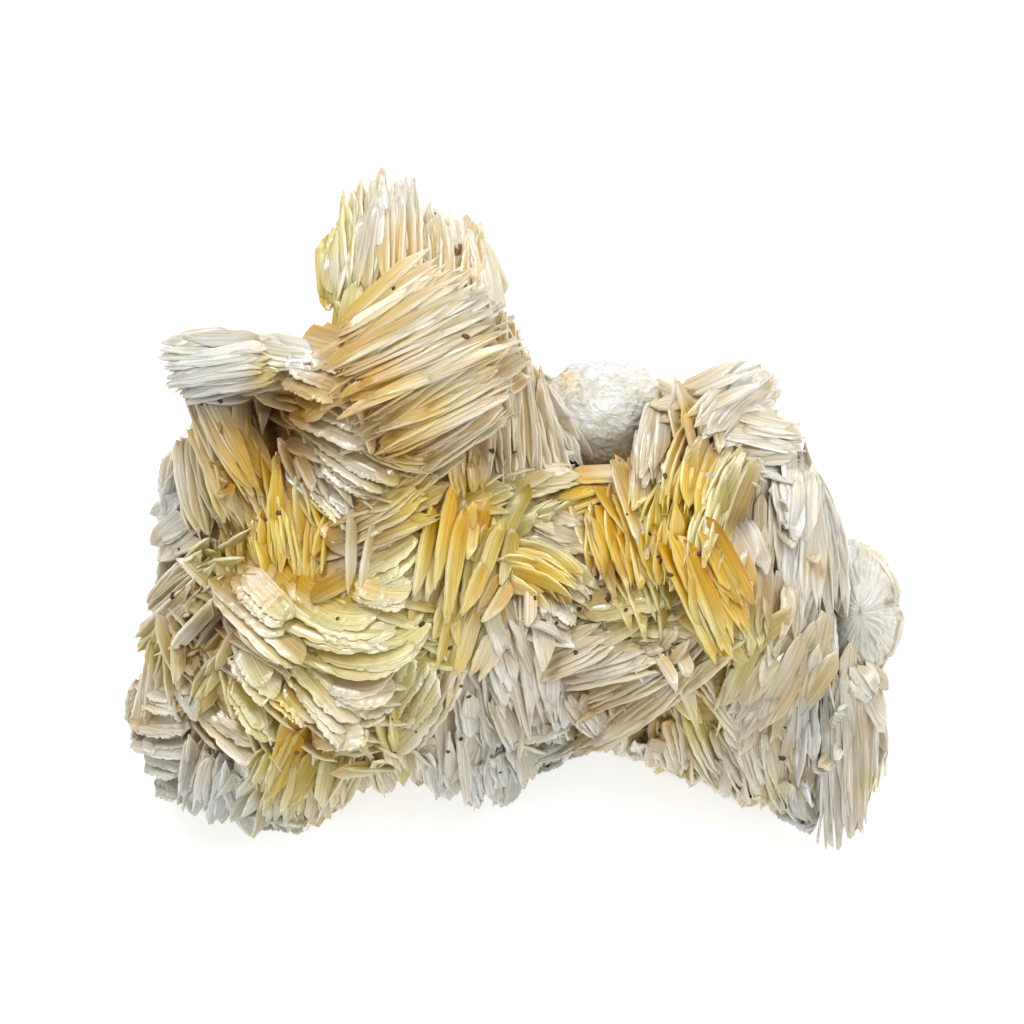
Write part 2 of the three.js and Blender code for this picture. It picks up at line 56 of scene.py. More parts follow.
# The outermost reach of the blades, seen from above.
BLADE_OUTLINE = [
    (-22.2, 24.8), (-22.4, 30), (-22.3, 33), (-21.3, 35.5), (-20.8, 38), (-19.6, 40.4), (-18.9, 40),
    (-17.4, 41.9), (-16.9, 41), (-15.6, 42.4), (-14, 42.9), (-13.4, 42.3), (-13, 40.8), (-11.8, 42.3),
    (-10.6, 41), (-10.5, 39.4), (-9, 38.3), (-7.9, 36.8), (-5.4, 36.5), (-4.9, 35.8), (-4.6, 33.5),
    (-3.9, 32), (-3.8, 28.7), (-1.8, 25.8), (0.2, 23.8), (2.2, 20.3), (4.7, 16), (7, 18), (10, 18.9),
    (11.8, 19), (14.3, 17.5), (16, 16.8), (19.5, 16.4), (21, 15.9), (24, 16.7), (27.5, 19), (30, 19.8),
    (31.7, 19.7), (32.2, 18.4), (33.5, 18), (32.9, 16.8), (33.5, 16), (32.5, 14.3), (31.2, 11.9),
    (33, 11.3), (35, 10.5), (37.3, 8.5), (36.3, 8.2), (36.3, 7.3), (38.8, 4.8), (40.2, 1), (41.5, -2.8),
    (43.5, -3.3), (46, -5.5), (48, -7.7), (49.8, -11), (49.8, -13), (48.6, -18), (46.9, -21.5),
    (47.3, -25), (48.2, -29), (48, -33.8), (46, -36), (45.3, -37.3), (44.9, -41), (42.3, -39.8),
    (40.7, -42.7), (39.6, -42.8), (37, -41.3), (35, -40.8), (34.4, -39), (31, -37.5), (27, -36.8),
    (25.2, -35), (23.2, -35.3), (20.5, -33.9), (17.2, -32.5), (13.5, -30.8), (11, -30.2), (8.2, -30.8),
    (5.5, -33), (2.5, -34), (-0.5, -35.3), (-2.1, -37.8), (-3.7, -36.3), (-4.8, -38.1), (-6.3, -36.9),
    (-8.7, -37), (-10, -36.4), (-11.5, -34.5), (-13.5, -33.5), (-15.6, -34.2), (-16.2, -36.8),
    (-17.4, -35.3), (-18, -33.7), (-20, -36.2), (-21.5, -38.3), (-23.3, -38.2), (-25.5, -40),
    (-27.5, -41.4), (-29.3, -41.7), (-29.7, -40.4), (-32.3, -40.1), (-33.7, -41.5), (-34.7, -41.3),
    (-35.7, -40.3), (-37.3, -40.2), (-37.8, -39.3), (-39.2, -39.8), (-41, -38.4), (-42.3, -38.2),
    (-42.6, -36.8), (-44.8, -36.9), (-46.3, -35), (-46, -34), (-47.2, -33.6), (-48.5, -31),
    (-49.6, -27.8), (-50, -25.8), (-49.8, -23), (-48.1, -20.5), (-48.3, -19.2), (-47.9, -15),
    (-46.5, -10.5), (-44.8, -6.5), (-43.9, -4), (-44.1, 0), (-45.2, 3.9), (-44.7, 6.8), (-43.2, 8.8),
    (-41.8, 8.9), (-39.8, 10.7), (-40.5, 13), (-41.3, 13.9), (-42.8, 14), (-43.1, 15.2), (-42.4, 16),
    (-44.6, 18.8), (-41.5, 20), (-36, 20.8), (-34.8, 21.2), (-31, 20.6), (-29, 20.3), (-26.3, 21.2),
    (-24, 21.1), (-22.8, 21.9),
]

# Colours of a blade's rim, its face and its buried root, as display values. The root colour is painted
# warm shade for the gaps where the blades crowd down into the mass, and the rim colour is partly painted
# highlight. Tone 8 is partly painted cool shade on the low front edges, and tone 10 partly painted shade
# in the hollows.
TONES = [
    ((0.98, 0.98, 0.99), (0.95, 0.95, 0.95), (0.92, 0.89, 0.82)),  # 0 white
    ((0.99, 0.98, 0.95), (0.94, 0.88, 0.73), (0.86, 0.69, 0.34)),  # 1 cream
    ((0.99, 0.98, 0.88), (0.94, 0.89, 0.58), (0.83, 0.72, 0.27)),  # 2 pale yellow
    ((0.99, 0.95, 0.64), (0.96, 0.81, 0.22), (0.87, 0.64, 0.06)),  # 3 lemon gold
    ((0.98, 0.90, 0.58), (0.93, 0.75, 0.20), (0.84, 0.62, 0.07)),  # 4 gold orange
    ((0.97, 0.94, 0.86), (0.83, 0.73, 0.50), (0.66, 0.49, 0.19)),  # 5 tan
    ((0.99, 0.97, 0.93), (0.95, 0.86, 0.67), (0.86, 0.67, 0.31)),  # 6 peach
    ((0.98, 0.97, 0.96), (0.93, 0.90, 0.86), (0.87, 0.79, 0.66)),  # 7 pinkish
    ((0.95, 0.97, 0.99), (0.84, 0.88, 0.91), (0.76, 0.79, 0.78)),  # 8 blue grey
    ((0.97, 0.96, 0.82), (0.87, 0.81, 0.50), (0.70, 0.60, 0.22)),  # 9 olive
    ((0.78, 0.62, 0.34), (0.54, 0.36, 0.13), (0.38, 0.23, 0.05)),  # 10 brown hollow
]

# Books of blades, by the piece that they become: how finely the piece's books are split, then the
# books. Each is the middle blade's crest, from x, y, z to x, y, z, then the book's width, its number
# of blades, a lean to the crest's right in degrees and its tone. The lean's sign gives the side to
# which the blades lean, and over 30 degrees it makes broad shells. How far the outer blades fan in
# degrees, and how far the crest bows to the right, follow where they are not 0.
REGIONS = {"tower_and_crown": (1.45, [
    # Tower at the back
    (-21.3, 24.8, 31, -21.2, 35.6, 24, 2.2, 2, 0, 2, 3), (-18.9, 25, 34, -18.3, 41, 24, 3.6, 4, 0, 2, 4),
    (-16.4, 26, 35, -15.8, 39.4, 27, 1.8, 2, 30, 0), (-12.9, 26, 36, -13.3, 42.6, 24, 4.6, 4, 0, 6, 4),
    (-8.8, 25, 36, -9, 38, 25, 3.6, 4, 0, 6, 3), (-5.8, 25, 34, -5.4, 36.2, 23, 2.4, 3, -8, 6, 2),
    (-3.2, 24.4, 35, -4.2, 31.8, 27, 1.8, 2, -20, 0),
    # Highest bundle
    (-19.6, 18.5, 42, -6, 27, 40, 5.4, 7, 0, 6, 6), (-20.6, 14.2, 43, -1.8, 22.8, 44, 7.2, 10, 0, 1, 5),
    (-17, 8.4, 41, -1.2, 16.6, 43, 6.8, 10, 4, 6, 4), (-11.8, 5.8, 38, -1.4, 12, 40, 4, 6, 8, 1, 4),
    (-19, 13, 40, -17.8, 7, 37, 1.6, 1, 10, 4), (-18, 7.4, 37, -10, 5, 37, 1.8, 2, 30, 1, 0, 0.4),
]), "curtain_and_middle": (0.95, [
    # Curtain falling forward from the highest bundle
    (-1.6, 25.2, 40, -0.6, 2.8, 31, 3.2, 4, -10, 1, 6), (0.2, 23.6, 38, 3.2, 2.4, 29, 3.2, 4, -16, 6, 6),
    (2.4, 19.8, 35, 6.6, 3.4, 28, 3, 4, -22, 1, 6, 0.4), (4.4, 16, 31, 9.4, 6.8, 27, 2.4, 3, -30, 0, 4, 0.3),
    (-7.5, 7.2, 35, -6.8, 1.6, 34, 1.9, 2, 0, 4), (-4.5, 10, 32, -4.2, 3.4, 30, 3.4, 4, 0, 5, 4),
    # Shelf of level blades
    (-7, 0.4, 32, 0.2, 2.1, 32, 2.4, 3, 20, 9, 3), (0, 3.1, 31, 8.5, 3.5, 29, 2, 2, 20, 1),
    (6, 1, 30, 11, 2.2, 29, 1.5, 1, 10, 3), (-2, -3.4, 31, 5.6, 0.6, 31, 3.4, 3, -30, 9, 4),
    (1.4, -2.2, 32, 8, -4.9, 31, 2.6, 3, 25, 7),
    # Yellow fan
    (-2.3, -4.4, 34, 8.6, -8.6, 33, 3.2, 5, -20, 3, 6, -1.2),
    (1.5, -3.7, 32, 11, -10.4, 31, 2.6, 4, -20, 2, 6, -0.8), (5, -9.3, 31, 8, -13, 30, 1.8, 2, -10, 3),
    # Separate yellow blades
    (-10.3, 1, 35, -12.4, -10.5, 33, 1.7, 1, 0, 3, 0, 0.3),
    (-8, 2.3, 35, -10, -8.5, 34, 1.8, 1, 0, 3, 0, 0.2), (-6.8, -0.5, 35, -9, -12.3, 34, 1.8, 1, 6, 3, 0, 0.2),
    (-5.4, -0.5, 34, -6.2, -6, 34, 1.4, 1, 0, 3), (-4, -6, 35, -7, -12, 34, 1.7, 1, 6, 3),
    (-2, -1, 35, -4.8, -9, 34, 1.6, 1, 12, 2, 0, 0.2), (-8.3, -12.5, 34, -9.7, -19, 31, 1.6, 1, 0, 3),
    (-5, -11.8, 34, -8, -19.5, 31, 1.8, 1, 6, 3), (-11.8, -2, 33, -13.4, -9.4, 32, 1.4, 1, 0, 3),
    # Plates left of the middle
    (-20.8, -9.2, 33, -11.2, -5.4, 34, 3, 3, 38, 5, 3, 0.9),
    (-20.4, -4.4, 33, -10, 0.4, 35, 4.6, 6, 15, 5, 6), (-18, -0.5, 34, -9.6, 5, 35, 3.6, 5, 10, 5, 6),
    (-14.6, 2, 34, -9, 7, 35, 2.4, 3, 8, 1), (-19.8, -0.5, 35, -21.2, -10, 33, 1.5, 1, 10, 0),
]), "left_side": (0.9, [
    # Gold curtain and the hollow behind it; tone 10 on the hollow's low blades is partly painted shade
    (-41, 13.5, 30, -34, -1.6, 26, 2.4, 3, 12, 4, 4), (-39.2, 14, 31, -32.4, 1.5, 27, 2, 3, 8, 4, 3, 0.4),
    (-34, 12.3, 26, -32.3, 5, 24, 1, 1, 0, 4), (-31, 13.4, 21, -29.4, 6, 21, 4.6, 3, 0, 10, 4),
    (-30.2, 7, 28, -29, -8, 27, 2.4, 3, 0, 3, 4), (-28.2, 1, 29, -26.5, -10, 28, 2, 2, 0, 2),
    (-32.2, -1, 27, -31, -9, 25, 2.4, 3, 6, 3, 3), (-25.4, -1, 30, -25.2, -12.4, 28, 1.9, 2, 0, 3),
    (-23.2, -2.5, 30, -24, -8, 30, 1.6, 1, 0, 3), (-35.4, -2, 25, -33.8, -9.4, 23, 2.8, 3, 10, 4, 4),
    # Ledge over the hollow
    (-31, 18.4, 36, -44.2, 16.8, 33, 2.4, 4, -28, 0, 6),
    (-30, 16.8, 37, -43.2, 14.8, 33, 2.6, 4, -28, 0, 4, 0.4),
    (-29.2, 15.8, 37, -42, 13.8, 32, 1.6, 3, -28, 7, 2, 0.3),
    (-31, 19.4, 35, -44.6, 18.2, 31, 2.4, 3, -8, 7, 2), (-35, 19.4, 34, -24.4, 16.8, 36, 1.8, 2, 30, 0),
    (-31, 17.8, 25, -23.4, 19.8, 25, 2.4, 4, -10, 8, 2),
    # Diagonal shells under the highest bundle
    (-28.4, 16.2, 36, -21.8, 13, 38, 3, 3, 48, 6, 3), (-27.2, 11.8, 34, -18.6, 7.2, 37, 3.4, 4, 44, 5, 4),
    (-25, 7.6, 34, -15.5, 2, 36, 2.6, 3, 44, 5, 4), (-24.4, 5, 33, -18, 1.2, 34, 1.8, 2, 44, 5),
    (-27, 6.5, 32, -25, 2.4, 32, 1.5, 1, 20, 5), (-25, 2.6, 31, -20.6, -2, 32, 1.8, 2, 40, 0),
    # Far left
    (-43.4, 8.8, 22, -42.6, -3.6, 18, 3, 3, 34, 7, 4, 0.8),
    (-40.6, 10.4, 27, -38.4, -3, 24, 3.4, 4, 14, 5, 4, 0.6),
    (-44.2, -6, 18, -38.6, -2.4, 23, 3.4, 3, 30, 0, 4), (-46.4, -12.2, 15, -39.5, -5.8, 24, 3, 3, -12, 2, 4),
    (-47.6, -16.8, 14, -39.6, -9.8, 24, 3.4, 3, -8, 1, 4), (-37.8, -10.8, 27, -43, -16.3, 22, 1.7, 1, 0, 0),
    (-42.6, -15.5, 23, -42.6, -22, 20, 1.8, 1, 0, 1), (-45, -16, 19, -47.3, -26.2, 13, 2.8, 3, 14, 7, 4),
    (-47.6, -19.4, 14, -48.9, -28.4, 9, 2, 2, 34, 8), (-45.6, -9.6, 15, -43.9, -1.6, 17, 2, 2, -38, 8),
    (-35, -14.2, 27, -37.7, -19.3, 25, 1.5, 1, 0, 9), (-40.8, -13, 22, -37.6, -18.6, 22, 2.8, 3, 0, 5),
]), "left_front": (0.9, [
    # Glossy diagonal plates
    (-35.5, -8.2, 29, -29, -14.5, 31, 2, 2, 48, 5), (-38, -10, 28, -28, -18.7, 32, 2.6, 2, 48, 5, 0, 0.4),
    (-34.5, -15, 29, -30, -18.4, 31, 1.6, 1, 48, 5), (-35.3, -17.5, 28, -31, -24, 28, 2.2, 2, 46, 0),
    (-30.4, -22, 29, -24.8, -27, 28, 2, 2, 44, 5), (-36.5, -21, 26, -31, -29, 25, 2.2, 2, 46, 9),
    (-42.8, -21.8, 20, -33, -30, 22, 2.6, 3, 46, 1, 3, 0.6),
    (-29.5, -18.5, 31, -20.5, -28, 28, 2.8, 3, 38, 1, 3),
    # Scallop of shells
    (-20.5, -9.8, 34, -13, -12, 34, 2, 2, 48, 2, 0, 0.5),
    (-30, -11.5, 30, -14.8, -15.8, 33, 3, 3, 52, 2, 4, 2.2),
    (-25, -16, 32, -14, -16.6, 33, 1.8, 2, 52, 1, 0, 0.8),
    (-24.8, -17.8, 31, -10, -16.9, 33, 3, 3, 52, 2, 4, 2.6),
    (-25.3, -21.4, 29, -14.4, -22.4, 30, 2.6, 3, 52, 0, 4, 1.8),
    (-24, -24.6, 27, -15.6, -26, 27, 2, 2, 52, 1, 0, 0.8),
    # Front left foot; tone 8 on its low blades is painted cool shade
    (-47.4, -23.4, 15, -40.2, -24.8, 19, 2.4, 2, 52, 8, 0, 0.4),
    (-49, -26.2, 11, -40.4, -27.4, 18, 2.4, 2, 52, 1, 0, 0.4),
    (-48.6, -29.2, 10, -41.2, -30.2, 16, 2.4, 2, 52, 8, 0, 0.4),
    (-47.4, -32, 8, -42, -33.2, 13, 2.6, 2, 54, 8), (-46, -35, 7, -42.4, -36.2, 9, 2, 2, 54, 8),
    (-41.2, -33, 14, -41.6, -38, 8, 2, 2, 0, 8), (-40.2, -28.2, 19, -42.3, -36, 11, 2, 2, 0, 7),
    (-38.4, -30, 20, -40.2, -37, 12, 1.9, 2, 0, 7), (-37, -31, 20, -38.6, -39.2, 9, 2, 2, 0, 8),
    (-36, -34, 17, -33.9, -41, 8, 2.8, 2, 0, 0),
]), "front": (0.85, [
    # Blades running down the front
    (-27.2, -25.8, 28, -32.5, -36.5, 17, 2, 2, 0, 3), (-31, -29, 24, -33.5, -33.4, 19, 1.6, 2, 0, 2),
    (-24.4, -29.5, 25, -25.2, -37.2, 15, 2, 2, 0, 2), (-20, -29.8, 24, -24.5, -37.5, 14, 2.6, 2, -26, 1),
    (-18.8, -32, 21, -21.7, -38, 11, 2, 2, -26, 1), (-29, -31, 23, -30.4, -38.2, 14, 2.8, 4, 0, 9, 3),
    (-26.8, -33, 19, -27.6, -39.8, 10, 2, 2, 0, 2), (-35, -37, 12, -26, -38.8, 12, 2.4, 2, 44, 2),
    (-33, -39.8, 7, -25.6, -40.2, 8, 2, 2, 50, 8), (-24.5, -29.2, 27, -18, -28.4, 27, 1.7, 2, 46, 1),
    (-16.4, -24, 29, -14, -33.6, 18, 2.8, 2, 0, 2), (-18, -30, 22, -16.3, -36.6, 11, 2, 2, 0, 7),
    (-12.2, -28.4, 23, -12.4, -34, 14, 2.2, 2, 0, 1),
    # Broad pale plates
    (-13.8, -30.3, 22, -5.4, -17.4, 32, 2.8, 3, 40, 1, 4, 1.6),
    (-14.2, -28.4, 23, -8.4, -20.4, 31, 2.8, 3, 38, 1, 3, 0.4),
    (-15, -25.6, 26, -10.4, -19.4, 31, 2.4, 2, 36, 2),
    # White pleats
    (-5, -9, 34, -0.8, -19, 30, 2.6, 2, 0, 0, 3), (-3, -17, 31, -1.3, -23.4, 28, 2, 2, 0, 0),
    (-4.6, -20.5, 29, -2.3, -30, 20, 2.4, 2, 0, 0), (-2.8, -23, 28, 0, -30, 20, 2, 2, 0, 7),
    (-7.3, -21.5, 29, -6.3, -28.8, 22, 1.9, 2, 0, 0), (-8.6, -27, 24, -8.4, -36, 12, 1.5, 1, 0, 7),
    (-6.9, -27, 24, -6.5, -36.6, 12, 1.5, 1, 0, 7), (-5.2, -30, 20, -4.8, -38, 9, 2.3, 2, 0, 0),
    (-10.9, -30, 21, -9.3, -36.3, 11, 2, 2, 0, 0), (-2.5, -29.6, 21, -1.5, -35.6, 12, 2, 2, 0, 7),
    (-0.4, -31, 18, -2.2, -37.4, 9, 2, 2, 0, 8), (-1, -13.5, 32, 2.3, -26.8, 25, 3, 3, 0, 7, 4),
    (1.4, -8.8, 32, 1.5, -13.6, 32, 1.5, 1, 0, 1), (0.5, -14, 32, 6.8, -16.5, 31, 1.8, 1, 38, 0, 0, -0.8),
    (3, -17.2, 30, 3.6, -24.2, 26, 2, 2, 0, 0), (5.3, -20.5, 28, 5.1, -26.6, 24, 1.8, 2, 0, 7),
    (0.2, -28.6, 22, 7.6, -26.2, 23, 2.2, 2, 46, 7), (-1.4, -32, 15, 8, -29, 17, 2.2, 2, 48, 8),
    (0.4, -33.6, 9, 8.6, -30.2, 11, 2, 2, 48, 8),
]), "right_middle": (0.9, [
    # Middle right
    (8, -13, 32, 20.5, -11, 32, 2.6, 3, 44, 9, 3), (12, -15.2, 31, 22, -14.8, 31, 2, 2, 44, 9),
    (2.9, -20.8, 29, 12.4, -16.2, 32, 1.9, 2, 20, 1), (7, -21.2, 29, 17, -18.4, 32, 3.6, 5, 18, 7, 5),
    (9, -25.2, 25, 19, -20.6, 31, 2.4, 3, 18, 1, 4), (7.7, -30.3, 20, 25, -17.6, 33, 3.6, 5, 12, 1, 4, 0.6),
    (17.5, -17.4, 33, 20, -22.2, 32, 1.4, 1, 0, 0), (7, -22.6, 27, 11, -28, 22, 2.6, 3, 10, 7),
    (20, -19, 32, 22.3, -15.8, 33, 1.4, 1, 0, 0),
    # Gold blades and the trunk
    (9.3, 1, 31, 13, -10.3, 33, 2.1, 2, 0, 4), (12.5, 7, 31, 17, -6, 34, 2.6, 3, 6, 1, 4),
    (13.5, -1, 33, 15.4, -9.6, 33, 2.4, 3, 0, 4, 4), (16, -2, 35, 18.4, -9.6, 34, 2.4, 3, 0, 3),
    (31.4, 17.6, 28, 22.5, 10.2, 35, 4, 5, 0, 1, 6, 0.6), (22.7, 10.8, 35, 19, 0, 37, 4, 5, 0, 3, 5, 0.6),
    (19.4, 1, 37, 18.2, -9, 35, 3, 4, 0, 3, 4), (27.5, 8, 34, 21.8, -6, 37, 3.2, 4, 0, 2, 5, 0.6),
    (18.9, -3.4, 38, 25.2, -18.3, 34, 3, 3, 0, 3, 4), (22.5, -2.5, 37, 27.5, -11.5, 34, 2.4, 3, 0, 4, 3),
    (23.4, 0.2, 36, 28.5, -9.8, 33, 2, 2, 0, 0), (22.5, 13.6, 31, 31.4, 19, 24, 3.6, 4, -26, 7, 3),
    (25.4, 11.8, 32, 33, 16, 26, 2.8, 3, -10, 7, 3), (22.5, 11, 34, 31, 15, 31, 1.8, 1, 0, 6),
    (17.6, 14, 31, 15.4, 4, 34, 2.6, 4, 0, 7, 4), (21, 12, 35, 21.8, 6.5, 35, 1.4, 1, 0, 3),
]), "right_side": (0.85, [
    # Fan on the right
    (28, -8.8, 32, 27.4, -17, 30, 3, 3, 0, 2, 4), (31.2, -8.6, 31, 30.6, -15.4, 30, 2.2, 2, 0, 5),
    (30.5, -14, 31, 25, -23.6, 26, 2.4, 2, 0, 2), (31.9, -17, 29, 26.5, -25.2, 24, 2, 2, 0, 1),
    (33.5, -14.6, 30, 28, -27.2, 22, 2.4, 3, 0, 1, 4), (34.1, -15, 29, 32, -25.6, 22, 2, 2, 0, 1),
    (35.6, -16.8, 27, 33.2, -24.4, 22, 1.9, 2, 0, 1), (20.5, -23.8, 27, 25.5, -34.4, 14, 2.4, 2, 0, 2),
    (23.5, -22, 28, 28.5, -28.4, 21, 2, 2, 0, 1), (25, -27, 23, 29.3, -35.4, 12, 2.4, 2, 0, 1),
    (28.4, -28.2, 21, 31.2, -36.6, 11, 2.2, 2, 0, 1), (17, -26.2, 25, 18.5, -31.2, 17, 2, 2, 0, 1),
    (19, -26, 25, 21, -33, 13, 2, 2, 0, 1), (13.8, -27, 23, 15.6, -31, 14, 2.4, 2, 0, 7),
    (10.2, -27.2, 21, 11.4, -30, 15, 2.2, 2, 0, 7), (18, -31, 13, 24, -34.2, 9, 2, 2, 46, 2),
    # Right side
    (29.8, 2.4, 31, 30.2, -8.4, 29, 1.6, 4, 0, 1), (33.1, 5.4, 30, 33.6, -3.8, 29.4, 2, 4, 0, 0),
    (35.4, 4.8, 28.5, 34, -13, 27.6, 2.4, 6, 0, 0), (31.6, 1, 26.5, 31.6, -8, 26, 1.6, 2, 0, 10),
    (37, 8, 25, 40.4, -11.6, 22, 4.4, 10, -26, 0, 5, -0.6), (40, 4, 20, 43.2, -6.6, 17, 2.4, 5, -26, 0, 3),
    (26.8, 4.6, 32.6, 31.2, 2.4, 31.6, 0.8, 1, 10, 0), (27, 9, 33, 36, 8.2, 28, 2, 2, 20, 1),
    (27.5, 6.4, 32, 36, 6.6, 28, 2, 2, 20, 1), (31.4, 11.8, 29, 36.8, 9, 24, 2, 2, -34, 0),
    (41.7, -20, 21, 44.3, -23.6, 19, 1.6, 2, 0, 0),
    # Front right pillars
    (37, -18, 25, 37, -33, 15, 3, 4, -10, 0), (34.4, -25, 22, 35.2, -36.4, 11, 2.6, 4, 16, 5),
    (30.8, -27, 22, 34.4, -38, 9, 2.4, 3, 0, 9), (40, -21, 23, 40.4, -42.4, 8, 3.8, 7, 0, 7, 3),
    (45.2, -23, 18, 44.8, -40.4, 7, 3.6, 7, -6, 0, 3), (47.2, -22, 14, 47.6, -34, 8, 1.8, 3, -20, 0),
    (33.4, -37.8, 8, 37.6, -40.4, 7, 2.4, 2, 46, 8),
    # Rim of the fibrous swelling
    (46, -4.8, 17, 49.3, -11.6, 15, 2.4, 2, -30, 0, 0, -0.6),
    (49.2, -12.4, 14, 47.4, -20.6, 13, 2.2, 2, -30, 0), (39.6, -3.6, 23, 41.4, -12, 20, 2.2, 4, -26, 0, 2),
    (39.8, -12, 22, 40.4, -19.8, 21, 2.2, 4, -20, 7, 2),
])}

# Massive, bladeless swellings: centre, then radius along x, y and z. The root stays below their tops.
SWELLINGS = [
    (11, 12.2, 18, 8.8, 7.2, 11.5),
    (43.6, -12.6, 10, 5.6, 9, 11.6),
]
BELOW_SWELLING = 1.2

# Peach and brown stains on the two swellings: x, y, radius, tone.
KNOB_STAINS = [
    [(6.5, 17, 1.3, 6), (15.5, 16.8, 1.6, 7), (18.5, 14.5, 1.5, 6), (9, 6.5, 1.5, 7)],
    [
        (38.5, -6, 2.2, 6), (49, -8, 1.6, 6), (46, -4, 2, 6), (49, -19, 2, 6), (47.5, -11.5, 0.7, 10),
        (41, -13, 1.5, 7),
    ],
]

